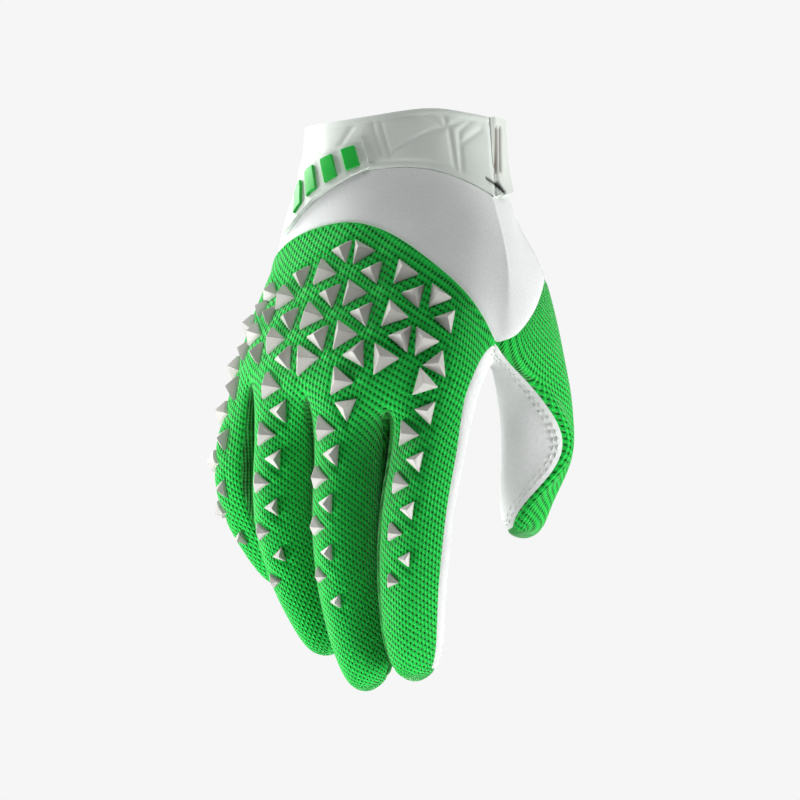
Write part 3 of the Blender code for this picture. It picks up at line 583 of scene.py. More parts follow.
def strip_middle(strip, level):
    """The middle of the hand or finger under a strip of studs, with the direction out of the back."""
    line, start = BACK_LINES[strip.line], STRIP_STARTS[strip.line - 1]
    if level <= WEB_LEVEL:
        across = across_at(start.level, start.across * HAND_BREADTH)
        share = (level - start.level) / (WEB_LEVEL - start.level)
        return section_middle(level, mixed(across, line.knuckle, max(0.0, share)))
    if level <= 1 or strip.line % 2 == 0:
        return section_middle(level, line.knuckle)
    finger = FINGERS[strip.line // 2]
    share = (level - 1) * PALM_LENGTH / finger.length
    table = (Ring(0.0, 1, 1, 0.0, 0.0, 0.0), *FINGER_RINGS)
    values = [smooth_between(table, "share", share, column) for column in Ring._fields]
    middle = finger_middle(finger, finger_root(strip.line // 2), Ring(*values))
    return middle, finger_frame(finger, share)[1]


def knit_place(cage, ids, middle, start=0.0, group="back"):
    """Notes the place of a row of points in its cloth: how far round and how far down, in mm."""
    for step in (1, -1):
        at, last = start, ids[middle]
        stop = len(ids) if step == 1 else -1
        for k in range(middle, stop, step):
            at += step * (cage.points[ids[k]] - cage.points[last]).length * 1000
            last = ids[k]
            cage.places[(group, ids[k])] = (at, -cage.points[ids[k]].z * 1000)


def cloth_group(panel):
    return next((group for group in ("fourchette", "thumb") if panel.startswith(group)), "back")


def read(rows, key, width, kind=float):
    """One value of every item in a collection, as an array. width is how many numbers the value has."""
    values = np.empty(len(rows) * width, kind)
    rows.foreach_get(key, values)
    return values


def limit_surface(cage):
    """The smooth outer surface as arrays: points, normals, quads, panel numbers and places in the cloth."""
    mesh = bpy.data.meshes.new("cage")
    mesh.from_pydata(cage.points, [], cage.quads)
    for name in PANELS:
        mesh.materials.append(bpy.data.materials.new(name + "_guide"))
    mesh.polygons.foreach_set("material_index", cage.panels)
    flat = []
    for quad, panel in zip(cage.quads, cage.panels):
        for i in quad:
            point = cage.points[i]
            flat += cage.places.get((cloth_group(PANELS[panel]), i), (point.x * 1000, -point.z * 1000))
    mesh.uv_layers.new(name="UVMap").data.foreach_set("uv", flat)
    guide = placed("cage", mesh)
    rounding = guide.modifiers.new("rounding", "SUBSURF")
    rounding.levels = LEVELS
    rounding.use_limit_surface = True
    bpy.context.view_layer.update()
    evaluated = guide.evaluated_get(bpy.context.evaluated_depsgraph_get())
    smooth = evaluated.to_mesh()
    points, normals = (read(smooth.vertices, key, 3).reshape(-1, 3) for key in ("co", "normal"))
    quads = read(smooth.loops, "vertex_index", 1, int).reshape(-1, 4)
    panels = read(smooth.polygons, "material_index", 1, int)
    places = read(smooth.uv_layers[0].data, "uv", 2).reshape(-1, 4, 2)
    evaluated.to_mesh_clear()
    bpy.data.objects.remove(guide, do_unlink=True)
    return Surface(points, normals, quads, panels), places


class Surface:
    """The glove's smooth surface, with its panels and the seams between them."""

    def __init__(self, points, normals, quads, panels):
        self.points, self.normals, self.quads, self.panels = points, normals, quads, panels
        self.tree = BVHTree.FromPolygons(points.tolist(), quads.tolist())

    def members(self, names):
        return np.isin(self.panels, [PANELS.index(name) for name in names])

    def seam_tree(self, names, others):
        """The points that both sets of panels hold."""
        ids = np.intersect1d(self.quads[self.members(names)], self.quads[self.members(others)])
        return self.tree_of(ids) if len(ids) else None

    def tree_of(self, ids):
        tree = KDTree(len(ids))
        for i in ids:
            tree.insert(self.points[i], int(i))
        tree.balance()
        return tree

    def chains(self, names, others):
        """Ordered runs of points along the seam between two sets of panels, longest first."""
        ends = [edges_of(self.quads[self.members(side)]) for side in (names, others)]
        size = len(self.points)
        codes = ends[0][:, 0] * size + ends[0][:, 1]
        backward = ends[1][:, 1] * size + ends[1][:, 0]
        along = dict(ends[0][np.isin(codes, backward)].tolist())
        found = []
        while along:
            starts = [a for a in along if a not in set(along.values())]
            at = starts[0] if starts else next(iter(along))
            run = [at]
            while at in along:
                at = along.pop(at)
                run.append(at)
            found.append(run)
        return sorted(found, key=len, reverse=True)

    def rim_tree(self):
        """The points along the wrist opening."""
        return self.tree_of(np.unique(open_sides(self.quads, len(self.points))))

    def nearest(self, point):
        place, normal, _, _ = self.tree.find_nearest(point)
        return place, normal

    def from_outside(self, middle, outward, reach=0.04):
        return self.tree.ray_cast(middle + outward * reach, -outward, reach)[0]


def edges_of(quads):
    """The directed sides of the quads, as rows of two point numbers."""
    return np.concatenate([quads[:, [i, (i + 1) % 4]] for i in range(4)])


# How far from a seam its distance is still told apart
SEAM_REACH = 0.012


def distances(tree, points):
    """How far each point is from the points of a tree, up to SEAM_REACH."""
    if tree is None:
        return np.full(len(points), SEAM_REACH)
    return np.array([min(tree.find(point)[2], SEAM_REACH) for point in points])


def hump(distance, middle, width):
    """1 at the middle distance, falling softly to 0 on both sides."""
    return np.exp(-(((distance - middle) / width) ** 2))


def open_sides(quads, count):
    """The directed sides that belong to one quad alone. count is the number of points."""
    sides = edges_of(quads)
    codes, reverse = sides[:, 0] * count + sides[:, 1], sides[:, 1] * count + sides[:, 0]
    return sides[~np.isin(codes, reverse)]


def placed(name, data):
    """A new object in the scene."""
    made = bpy.data.objects.new(name, data)
    bpy.context.scene.collection.objects.link(made)
    return made


def finish_piece(made, slot, *nodes):
    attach(made, "root")
    if nodes:
        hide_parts(*nodes)


def piece_from(name, points, faces, look, sharp=50.0):
    mesh = bpy.data.meshes.new(name)
    mesh.from_pydata([tuple(point) for point in points], [], [tuple(face) for face in faces])
    mesh.materials.append(look)
    mesh.validate()
    mesh.shade_smooth()
    mesh.set_sharp_from_angle(angle=math.radians(sharp))
    return placed(name, mesh)


def walled(quads, count):
    """The faces of a sheet of quads, of its inner side, count points further on, and of its rim."""
    rims = open_sides(quads, count)
    rim = np.stack([rims[:, 1], rims[:, 0], rims[:, 0] + count, rims[:, 1] + count], axis=1)
    return np.concatenate([quads, quads[:, ::-1] + count, rim])


def shell(name, surface, places, members, look, wall, shape):
    """A panel with thickness. shape gives how far each point stands off the smooth surface."""
    chosen = surface.members(members)
    used, local = np.unique(surface.quads[chosen], return_inverse=True)
    local = local.reshape(-1, 4)
    count = len(used)
    points, normals = surface.points[used], surface.normals[used]
    lift, tints = shape(points, normals)
    outer = points + normals * lift[:, None]
    inner = points + normals * (np.minimum(lift, 0.0) - wall)[:, None]
    made = piece_from(name, np.concatenate([outer, inner]), walled(local, count), look)
    mesh = made.data
    cloth = np.zeros((count, 2))
    cloth[local.ravel()] = places[chosen].reshape(-1, 2)
    cloth = np.concatenate([cloth, cloth])
    loops = read(mesh.loops, "vertex_index", 1, int)
    mesh.uv_layers.new(name="UVMap").data.foreach_set("uv", cloth[loops].ravel())
    for key, values in tints.items():
        layer = mesh.attributes.new(key, "FLOAT", "POINT")
        layer.data.foreach_set("value", np.concatenate([values, values]))
    return made


SHEEN_ROUGHNESS = 0.3


class Graph:
    """Builds a material's nodes in few words."""

    def __init__(self, name):
        self.material = bpy.data.materials.new(name)
        self.material.use_nodes = True
        self.tree = self.material.node_tree
        self.shader = self.tree.nodes["Principled BSDF"]

    def node(self, kind, **inputs):
        made = self.tree.nodes.new(kind)
        for key, value in inputs.items():
            self.put(made, key.replace("_", " "), value)
        return made

    def put(self, node, key, value):
        socket = node.inputs[key]
        if isinstance(value, bpy.types.NodeSocket):
            self.tree.links.new(value, socket)
        else:
            socket.default_value = value

    def maths(self, operation, first, second=0.0, third=None):
        made = self.tree.nodes.new("ShaderNodeMath")
        made.operation = operation
        for i, value in enumerate((first, second, third)):
            if value is not None:
                self.put(made, i, value)
        return made.outputs[0]

    def blend(self, share, first, second):
        """A mix of two colours."""
        made = self.tree.nodes.new("ShaderNodeMix")
        made.data_type = "RGBA"
        self.put(made, 0, share)
        self.put(made, 6, first)
        self.put(made, 7, second)
        return made.outputs[2]

    def weigh(self, first, share, second, other_share):
        """The sum of two values, each with its own share."""
        parts = [self.maths("MULTIPLY", *part) for part in ((first, share), (second, other_share))]
        return self.maths("ADD", *parts)

    def shade(self, value, low, high, deep, light):
        """A colour from deep to light as a value goes from low to high."""
        return self.blend(self.ramp(value, low, high), (*deep, 1.0), (*light, 1.0))

    def ramp(self, value, low, high, start=0.0, end=1.0):
        made = self.tree.nodes.new("ShaderNodeMapRange")
        made.interpolation_type = "SMOOTHSTEP"
        for key, number in enumerate((value, low, high, start, end)):
            self.put(made, key, number)
        return made.outputs[0]

    def attribute(self, name):
        made = self.tree.nodes.new("ShaderNodeAttribute")
        made.attribute_name = name
        return made.outputs["Fac"]

    def place(self):
        return self.tree.nodes.new("ShaderNodeTexCoord").outputs["Object"]

    def noise(self, scale, detail=3.0, roughness=0.5):
        inputs = {"Scale": scale, "Detail": detail, "Roughness": roughness, "Vector": self.place()}
        return self.node("ShaderNodeTexNoise", **inputs).outputs["Fac"]

    def cloth(self):
        """The place in the cloth, in mm: across and along."""
        made = self.tree.nodes.new("ShaderNodeUVMap")
        made.uv_map = "UVMap"
        parts = self.node("ShaderNodeSeparateXYZ", Vector=made.outputs[0])
        return parts.outputs[0], parts.outputs[1]

    def bump(self, height, distance, normal=None):
        made = self.node("ShaderNodeBump", Height=height, Distance=distance, Strength=1.0)
        if normal is not None:
            self.put(made, "Normal", normal)
        return made.outputs[0]

    def end(self, colour, roughness, normal, sheen=0.0, specular=0.5):
        self.put(self.shader, "Base Color", colour)
        self.put(self.shader, "Roughness", roughness)
        self.put(self.shader, "Normal", normal)
        self.shader.inputs["Sheen Weight"].default_value = sheen
        self.shader.inputs["Sheen Roughness"].default_value = SHEEN_ROUGHNESS
        self.shader.inputs["Specular IOR Level"].default_value = specular
        return self.material


# The knit: how far its lines wander in mm, how far each column of stitches lies below the last, and half
# the size of a hole across and along, as shares of a stitch
KNIT_WOBBLE = 0.35
KNIT_SLIP = 0.35
KNIT_HOLE = (0.27, 0.19)


def knit_look(name, light, deep, across, along, relief):
    """Open knit: wavy lengthwise ribs, with a small hole in every stitch, its colour darker in holes and dips
    as painted shade and lighter on rib crests as painted highlight. across and along are in mm.
    """
    g = Graph(name)
    u, v = g.cloth()
    wobble = g.maths("SUBTRACT", g.noise(260.0, 2.0), 0.5)
    u = g.maths("MULTIPLY_ADD", wobble, KNIT_WOBBLE, u)
    v = g.maths("MULTIPLY_ADD", wobble, KNIT_WOBBLE, v)
    straight = g.maths("DIVIDE", u, across)
    slip = g.maths("MULTIPLY", g.maths("FLOOR", straight), KNIT_SLIP)
    row = g.maths("SUBTRACT", g.maths("DIVIDE", v, along), slip)
    wave = g.maths("SINE", g.maths("MULTIPLY", row, 2 * math.pi))
    side = g.maths("SUBTRACT", g.maths("FRACT", straight), 0.5)
    down = g.maths("SUBTRACT", g.maths("FRACT", row), 0.5)
    squares = [g.maths("POWER", g.maths("DIVIDE", *pair), 2.0) for pair in zip((side, down), KNIT_HOLE)]
    away = g.maths("SQRT", g.maths("ADD", *squares))
    cloth = g.ramp(away, 0.45, 1.25)
    bend = g.maths("MULTIPLY_ADD", wave, 0.12, side)
    rib = g.ramp(g.maths("ABSOLUTE", bend), 0.22, 0.48)
    stitch = g.ramp(g.maths("ABSOLUTE", down), 0.10, 0.45)
    yarn = g.maths("MULTIPLY_ADD", rib, 0.30, g.maths("MULTIPLY_ADD", stitch, 0.15, 0.55))
    height = g.maths("MULTIPLY", cloth, yarn)
    hem = g.attribute("hem")
    height = g.maths("MAXIMUM", height, hem)
    press_and_shade = g.attribute("press_and_shade")
    fuzz = g.noise(2600.0, 2.0)
    tone = g.noise(45.0)
    shade = g.maths("MULTIPLY", height, g.ramp(tone, 0.2, 0.8, 0.88, 1.0))
    # Painted shade: the knit is darkened next to the studs' feet, where the tall studs shade it; the sunk,
    # flatter ground there is real
    shade = g.maths("SUBTRACT", shade, g.maths("MULTIPLY", press_and_shade, 0.12))
    # The colour follows the yarn's height: the holes are openings whose darkness is partly painted shade, the
    # dips between stitches are painted shade and the rib crests painted highlights
    colour = g.shade(shade, 0.0, 1.0, deep, light)
    relieved = g.maths("MULTIPLY", height, g.maths("SUBTRACT", 1.0, g.maths("MULTIPLY", press_and_shade, 0.45)))
    fine = g.maths("MULTIPLY_ADD", fuzz, 0.12, relieved)
    return g.end(colour, 0.78, g.bump(fine, relief), sheen=0.45, specular=0.05)


def ribbed_look(name, light, deep, pitch):
    """Narrow lengthwise ribs of a stretch strip, painted darker in the grooves as shade and lighter on the
    crests as highlight.
    """
    g = Graph(name)
    u, v = g.cloth()
    wave = g.maths("SINE", g.maths("MULTIPLY", u, 2 * math.pi / pitch))
    cross = g.maths("SINE", g.maths("MULTIPLY", v, 2 * math.pi / (pitch * 1.3)))
    height = g.weigh(wave, 0.5, cross, 0.16)
    # Painted shade and highlight: the grooves between ribs are darker and the crests lighter, over a random
    # tone
    tone = g.maths("ADD", g.maths("MULTIPLY", height, 0.35), g.noise(300.0))
    colour = g.shade(tone, 0.1, 0.95, deep, light)
    return g.end(colour, 0.8, g.bump(height, 0.00025), sheen=0.25, specular=0.25)


def suede_look(name, light, deep):
    """Short-napped synthetic suede: fine grain over soft, uneven shading."""
    g = Graph(name)
    coarse = g.noise(38.0, 4.0)
    fine = g.noise(900.0, 5.0, roughness=0.65)
    tone = g.weigh(coarse, 0.55, fine, 0.45)
    colour = g.shade(tone, 0.3, 0.7, deep, light)
    nap = g.bump(fine, 0.00018, g.bump(coarse, 0.0006))
    return g.end(colour, 0.88, nap, sheen=0.3, specular=0.2)


def stretch_look(name, light, deep):
    """Smooth stretch cloth with a very fine twill."""
    g = Graph(name)
    parts = g.node("ShaderNodeSeparateXYZ", Vector=g.place()).outputs
    slope = g.maths("MULTIPLY_ADD", parts[0], 5200.0, g.maths("MULTIPLY", parts[2], 9000.0))
    twill = g.maths("SINE", slope)
    soft = g.noise(30.0)
    fuzz = g.noise(1500.0)
    tone = g.weigh(soft, 0.6, fuzz, 0.4)
    colour = g.shade(tone, 0.3, 0.7, deep, light)
    height = g.maths("ADD", g.maths("MULTIPLY", twill, 0.22), fuzz)
    return g.end(colour, 0.72, g.bump(height, 0.00006), sheen=0.25, specular=0.3)


# Painted shade: brown in the strap's slots, black in the slit where the strap's end lifts off the cuff
SLOT_SHADE_BROWN = (0.22, 0.20, 0.17, 1.0)
GAP_SHADE_BLACK = (0.004, 0.006, 0.004, 1.0)


def rubber_look(name, light, deep, roughness):
    """Moulded rubber with a fine satin grain and slight uneven tone, with painted shade where a cut goes
    through it: brown in the slots, black in the slit.
    """
    g = Graph(name)
    tone = g.noise(55.0, 4.0)
    fine = g.noise(1400.0)
    colour = g.shade(tone, 0.25, 0.75, deep, light)
    # Painted shade in the strap's slots
    colour = g.blend(g.attribute("slot"), colour, SLOT_SHADE_BROWN)
    # Painted shade, black, in the slit under the strap's end
    colour = g.blend(g.attribute("gap_shade"), colour, GAP_SHADE_BLACK)
    gloss = g.ramp(g.noise(180.0), 0.2, 0.8, roughness - 0.06, roughness + 0.08)
    return g.end(colour, gloss, g.bump(fine, 0.00004), specular=0.4)


def thread_look(name, light, deep):
    """Twisted sewing thread."""
    g = Graph(name)
    twist = g.noise(3000.0, 2.0)
    colour = g.shade(twist, 0.3, 0.7, deep, light)
    return g.end(colour, 0.6, g.bump(twist, 0.00006), sheen=0.2, specular=0.35)


# Embossed lines of the cuff as seen from the back of the hand, each a run of (x, z) in millimetres
GROOVES = (
    ((-15.0, -1.9), (-20.5, -10.2)),
    ((-29.8, -9.3), (-26.2, -11.8)),
    ((-10.6, -1.6), (-9.4, -7.0), (-7.7, -13.1)),
    ((-8.0, -1.9), (-6.6, -7.6), (-4.8, -13.8)),
    ((-4.8, -13.8), (-1.0, -10.6), (4.2, -7.7), (9.0, -5.4), (13.1, -4.2)),
    ((4.5, -0.2), (13.1, -4.2)),
    ((12.2, -1.0), (13.1, -4.2)),
    ((13.1, -4.2), (19.5, -1.6)),
    ((13.8, -5.1), (14.9, -12.0), (16.0, -18.9)),
    ((17.0, -6.1), (17.5, -12.8), (17.9, -19.5)),
    ((17.3, -5.4), (21.4, -1.6)),
    ((17.6, -9.6), (23.6, -5.2)),
)
GROOVE_DEPTH = 0.00036
GROOVE_WIDTH = 0.00070
CUFF_PROUD = 0.0007
# The puffed fields between the grooves, and how far from an edge they and the grooves fade
PUFF_HEIGHT = 0.00022
PUFF_WIDTH = 0.0035
RELIEF_FADE = 0.0022
# The beads along the cuff's two edges: their width and the depths of the lines beside them
HEM_BEAD = 0.0016
TOP_LINE_DEPTH = 0.00030
LOW_LINE_DEPTH = 0.00045
# The strap's end: its height over the hand, its inner side, its cuts and the step where it starts
TAB_PROUD = 0.0021
TAB_UNDERSIDE = 0.0003
SLOT_DEPTH = 0.0006
SLIT_DEPTH = 0.0004
TAB_STEP = 0.0009

# Studs: the height over the foot, how far the top is cut back, and the rings of the foot from the cloth
# up, as shares of the stud's outline and heights over the cloth
PYRAMID_HEIGHT = 0.0034
STUD_BLUNT = 0.12
STUD_RINGS = ((1.10, -0.0006), (1.09, 0.00015), (1.0, 0.00085))

# The slit where the strap's end lifts off the cuff, painted black as shade, and the two slots in it, painted
# brown as shade, in (x, z) millimetres
STRAP_GAP = (((25.5, -20.9), (28.0, -22.6), (30.2, -25.9)),)
STRAP_SLOTS = (((27.4, -4.4), (27.7, -18.8)), ((28.5, -4.4), (28.8, -18.8)))

# Stitches, and the rings of one stitch: the place along it as a share of its length, then the radius and
# the height over the cloth as shares of STITCH_RADIUS
STITCH_LENGTH = 0.0019
STITCH_PITCH = 0.0027
STITCH_RADIUS = 0.00021
STITCH_LIFT = 0.0001
STITCH_FLATNESS = 1.25
STITCH_INSETS = (0.0016, 0.0031)
STITCH_PROFILE = (
    (-0.50, 0.35, -1.0),
    (-0.36, 0.95, 0.0),
    (0.00, 1.10, 0.5),
    (0.36, 0.95, 0.0),
    (0.50, 0.35, -1.0),
)


def line_distance(points, runs):
    """Distance in the plane of the picture, in mm, from each point to the nearest of some broken lines."""
    flat = np.stack([points[:, 0], points[:, 2]], axis=1) * 1000
    best = np.full(len(flat), 99.0)
    for run in runs:
        for start, end in zip(run, run[1:]):
            a, b = np.array(start), np.array(end)
            share = np.clip((flat - a) @ (b - a) / ((b - a) @ (b - a)), 0, 1)
            best = np.minimum(best, np.linalg.norm(flat - (a + share[:, None] * (b - a)), axis=1))
    return best


def strap_gap(points):
    """1 in the slit at the strap's end, falling to 0 beside it."""
    return np.clip(1.6 - line_distance(points, STRAP_GAP) / 0.45, 0, 1)


def bands(base, count, rings):
    """Faces between rings of points that follow each other from the number base on."""
    faces = []
    for ring in range(rings - 1):
        low = base + ring * count
        for i in range(count):
            j = (i + 1) % count
            faces.append((low + i, low + j, low + count + j, low + count + i))
    return faces


def soften(piece, width, segments, degrees):
    """Rounds the edges of a piece that are sharper than an angle."""
    edge = piece.modifiers.new("soft_edges", "BEVEL")
    edge.width = width
    edge.segments = segments
    edge.limit_method = "ANGLE"
    edge.angle_limit = math.radians(degrees)


def soft_folds(points, size, depth, seed):
    """Slow wrinkles, the same in every run."""
    lifts = [noise.noise(Vector(point) / size + Vector((seed, 0, 0))) for point in points]
    return np.array(lifts) * depth


def stud_corners(surface, strip, number):
    """The outline and the middle of one stud's foot on the skin, the way out of it and its size."""
    level = strip.first + number * strip.step * STUD_PITCH / PALM_LENGTH
    place = surface.from_outside(*strip_middle(strip, level))
    below = surface.from_outside(*strip_middle(strip, level + 0.04))
    down = (below - place).normalized()
    across = strip_middle(strip, level)[1].cross(down).normalized()
    share = number / (strip.count - 1)
    bow = strip.middle - (strip.start + strip.end) / 2
    place += across * (mixed(strip.start, strip.end, share) + bow * 4 * share * (1 - share))
    tip = strip.tip if number % 2 == 0 else -strip.tip
    size = mixed(strip.first_size, strip.last_size, share)
    if tip < 0:
        size *= AWAY_SIZE
    middle, outward = surface.nearest(place - across * tip * STUD_OFFSET)
    across = outward.cross(down).normalized()
    down = across.cross(outward).normalized()
    half, reach = down * size * STUD_SIDE / 2, across * tip * size * STUD_REACH / 3
    corners = [middle + reach * 2, middle - reach - half, middle - reach + half]
    if tip < 0:
        corners.reverse()
    return corners, middle, outward, size


def all_studs(surface):
    """Every stud as (field, corners, middle, way out, size)."""
    found = []
    for strip in STRIPS:
        for number in range(strip.count):
            found.append((strip.field, *stud_corners(surface, strip, number)))
    return found


def stud_pieces(surface, studs, look):
    """The rubber pyramids, one object for each field, with soft edges and a thin foot."""
    for field in dict.fromkeys(strip.field for strip in STRIPS):
        points, faces = [], []
        for name, corners, middle, outward, size in studs:
            if name != field:
                continue
            rings = []
            for grow, lift in STUD_RINGS:
                outline = []
                for i in range(3):
                    start, end = corners[i], corners[(i + 1) % 3]
                    for share in (0.0, 0.25, 0.5, 0.75):
                        point = middle + (start.lerp(end, share) - middle) * grow
                        foot = surface.from_outside(point - outward * 0.010, outward, 0.020)
                        outline.append(foot + outward * lift)
                rings.append(outline)
            base = len(points)
            centre = (rings[2][0] + rings[2][4] + rings[2][8]) / 3
            peak = centre + outward * PYRAMID_HEIGHT * size
            points += [point for ring in rings for point in ring]
            points += [peak.lerp(point, STUD_BLUNT) for point in rings[2][::4]]
            points.append(peak.lerp(centre, 0.03))
            faces += bands(base, 12, 3)
            crest = base + 36
            for i in range(3):
                first, second = crest + i, crest + (i + 1) % 3
                side = [base + 24 + (4 * i + k) % 12 for k in range(5)]
                faces.append((*side, second, first))
                faces.append((first, second, crest + 3))
            faces.append(tuple(base + i for i in reversed(range(12))))
        piece = piece_from(field.replace("studs", "pyramids"), points, faces, look, 30.0)
        soften(piece, 0.00022, 2, 28)
        finish_piece(piece, "stud_rubber", field)


# The cloth round a stud: how far from its middle it is looked at, and where the pressed ground starts to
# rise and ends, outside the stud's outline
STUD_REGION = 0.0105
PRESS_START = 0.0007
PRESS_END = 0.0021


def pressed_share(points, studs):
    """1 at a stud's foot, falling to 0 a little way outside it."""
    share = np.zeros(len(points))
    for _, corners, middle, outward, _ in studs:
        offset = points - np.array(middle)
        near = np.nonzero((offset**2).sum(axis=1) < STUD_REGION**2)[0]
        if len(near) == 0:
            continue
        flat = [np.array(corner) - np.array(middle) for corner in corners]
        apart = np.full(len(near), -1.0)
        for i in range(3):
            along = flat[(i + 1) % 3] - flat[i]
            away = np.cross(along, np.array(outward))
            away /= np.linalg.norm(away)
            if away @ flat[i] < 0:
                away = -away
            apart = np.maximum(apart, (offset[near] - flat[i]) @ away)
        fall = np.clip((PRESS_END - apart) / (PRESS_END - PRESS_START), 0, 1)
        share[near] = np.maximum(share[near], fall * fall * (3 - 2 * fall))
    return share


def seam_path(surface, run, inset):
    """A smooth line beside a seam, as points with normals. inset is to the first panel's side."""
    line = surface.points[run]
    kernel = np.ones(5) / 5
    padded_line = np.concatenate([np.repeat(line[:1], 2, 0), line, np.repeat(line[-1:], 2, 0)])
    line = np.stack([np.convolve(padded_line[:, k], kernel, "valid") for k in range(3)], axis=1)
    path = []
    for i, point in enumerate(line):
        along = Vector(line[min(i + 2, len(line) - 1)] - line[max(i - 2, 0)]).normalized()
        normal = Vector(surface.normals[run[i]])
        beside = normal.cross(along).normalized()
        place, out = surface.nearest(Vector(point) + beside * inset)
        path.append((place + out * STITCH_LIFT, out))
    return path


def spaced_along(path):
    """Places at even steps along a path, each with its direction and normal."""
    places, wanted, travelled = [], STITCH_PITCH / 2, 0.0
    for (a, normal), (b, _) in zip(path, path[1:]):
        length = (b - a).length
        while length > 0 and wanted <= travelled + length:
            places.append((a.lerp(b, (wanted - travelled) / length), (b - a).normalized(), normal))
            wanted += STITCH_PITCH
        travelled += length
    return places


def stitch_row(name, paths, look, slot):
    """Rows of stitches: short pieces of thread that dip into the cloth at both ends."""
    points, faces = [], []
    sides = 6
    for place, along, normal in (found for path in paths for found in spaced_along(path)):
        side = normal.cross(along).normalized()
        base = len(points)
        for step, swell, rise in STITCH_PROFILE:
            middle = place + along * step * STITCH_LENGTH + normal * rise * STITCH_RADIUS
            for k in range(sides):
                turn = 2 * math.pi * k / sides
                round_way = side * math.cos(turn) * STITCH_FLATNESS + normal * math.sin(turn)
                points.append(middle + round_way * STITCH_RADIUS * swell)
        faces += [face[::-1] for face in bands(base, sides, len(STITCH_PROFILE))]
        faces.append(tuple(base + k for k in range(sides)))
        faces.append(tuple(len(points) - 1 - k for k in range(sides)))
    finish_piece(piece_from(name, points, faces, look, 80.0), slot)


def plate_point(share, edge):
    """A point on the cuff plate: share runs from its thumb end to its point, edge from top to bottom."""
    at = share * (len(PLATE) - 1)
    low = min(int(at), len(PLATE) - 2)
    first, second = PLATE[low], PLATE[low + 1]
    rib = [mixed(a, b, at - low) for a, b in zip(first, second)]
    across, level = mixed(rib[0], rib[2], edge), mixed(rib[1], rib[3], edge)
    return hand_point(level, across_at(level, across * HAND_BREADTH), 1)


def plate_piece(name, surface, shares, edges, heights, look, slot, node):
    """A raised plate over part of the cuff plate's outline, with a rounded edge."""
    rows, columns = spaced(*shares), spaced(*edges)
    upper, lower = [], []
    for share in rows:
        for edge in columns:
            place, normal = surface.nearest(plate_point(share, edge))
            lower.append(place + normal * heights[0])
            upper.append(place + normal * heights[1])
    ids = np.arange(len(upper)).reshape(len(rows), len(columns))
    quads = np.stack([ids[:-1, :-1], ids[1:, :-1], ids[1:, 1:], ids[:-1, 1:]], axis=2).reshape(-1, 4)
    piece = piece_from(name, upper + lower, walled(quads, len(upper)), look, 40.0)
    soften(piece, 0.00028, 3, 50)
    finish_piece(piece, slot, node)


def spaced(low, high, count):
    return [mixed(low, high, i / (count - 1)) for i in range(count)]


# Heights and widths of the cloth's forms, in metres
WRINKLE_SIZE = 0.017
WRINKLE_DEPTH = 0.0003
FOLD_DEPTH = 0.00035
FOLD_WIDTH = 0.0007
HEM_HEIGHT = 0.00055
HEM_MIDDLE = 0.0008
HEM_WIDTH = 0.0007
HEM_EDGE = 0.0009
PRESS_DEPTH = 0.0003


def cloth_shape(folds=(), hems=(), studs=()):
    """How a cloth panel stands off the smooth surface: wrinkles, turned seams, raised hems and stud feet."""

    def shape(points, normals):
        lift = soft_folds(points, WRINKLE_SIZE, WRINKLE_DEPTH, 3.0)
        for tree in folds:
            lift = lift - FOLD_DEPTH * hump(distances(tree, points), 0, FOLD_WIDTH)
        turned = np.zeros(len(points))
        for tree in hems:
            away = distances(tree, points)
            lift = lift + HEM_HEIGHT * hump(away, HEM_MIDDLE, HEM_WIDTH)
            turned = np.maximum(turned, np.clip((HEM_EDGE - away) / 0.0005, 0, 1))
        # The pressed share is real flattening of the knit round the studs and also darkens the knit's colour as
        # painted shade
        press_and_shade = pressed_share(points, studs)
        return lift - PRESS_DEPTH * press_and_shade, {"press_and_shade": press_and_shade, "hem": turned}

    return shape


def cuff_shape(surface):
    """The moulded cuff: puffed fields between soft grooves, a bead along the top and rounded edges."""
    hem = surface.seam_tree(("cuff", "cuff_under_tab"), ("wrist_panel", "palm"))
    top = surface.rim_tree()

    def shape(points, normals):
        away = line_distance(points, GROOVES) / 1000
        back = np.clip((0.25 - normals[:, 1]) / 0.3, 0, 1)
        puff = 1 - hump(away, 0, PUFF_WIDTH)
        groove = hump(away, 0, GROOVE_WIDTH)
        edge = distances(hem, points)
        mouth = distances(top, points)
        inside = np.clip(edge / RELIEF_FADE - 0.6, 0, 1) * np.clip(mouth / RELIEF_FADE - 0.6, 0, 1)
        lift = CUFF_PROUD + back * inside * (PUFF_HEIGHT * puff - GROOVE_DEPTH * groove)
        lift = lift - TOP_LINE_DEPTH * hump(mouth, HEM_BEAD * 1.5, 0.0005)
        lift = lift - LOW_LINE_DEPTH * hump(edge, HEM_BEAD, 0.0006)
        lift = lift * (1 - 0.75 * hump(edge, 0, 0.0007)) - 0.0004 * hump(mouth, 0, 0.0005)
        # Painted shade: the slit under the strap's end is sunk and coloured black
        gap_shade = back * strap_gap(points)
        return lift - 0.0003 * gap_shade, {"gap_shade": gap_shade, "slot": np.zeros(len(points))}

    return shape


def tab_shape(surface):
    """The closing strap's end: a smooth strip with a double slot and a curved cut."""
    start = surface.seam_tree(("cuff_under_tab",), ("cuff",))

    def shape(points, normals):
        front = np.clip((0.35 - normals[:, 1]) / 0.3, 0, 1)
        # The slot and slit shares sink the strap and colour it as painted shade, brown in the slots and black
        # in the slit
        slot = hump(line_distance(points, STRAP_SLOTS), 0, 0.36) * front
        slit = strap_gap(points) * front
        low = hump(distances(start, points), 0, 0.0009)
        lift = TAB_PROUD + soft_folds(points, 0.012, 0.0002, 8.0)
        lift = lift - SLOT_DEPTH * slot - SLIT_DEPTH * slit - TAB_STEP * low
        return lift, {"slot": slot, "gap_shade": slit}

    return shape


# How far over the cloth the plate starts, and how deep its ribs sit in it
PLATE_FOOT = 0.00018
RIB_ROOT = 0.0002


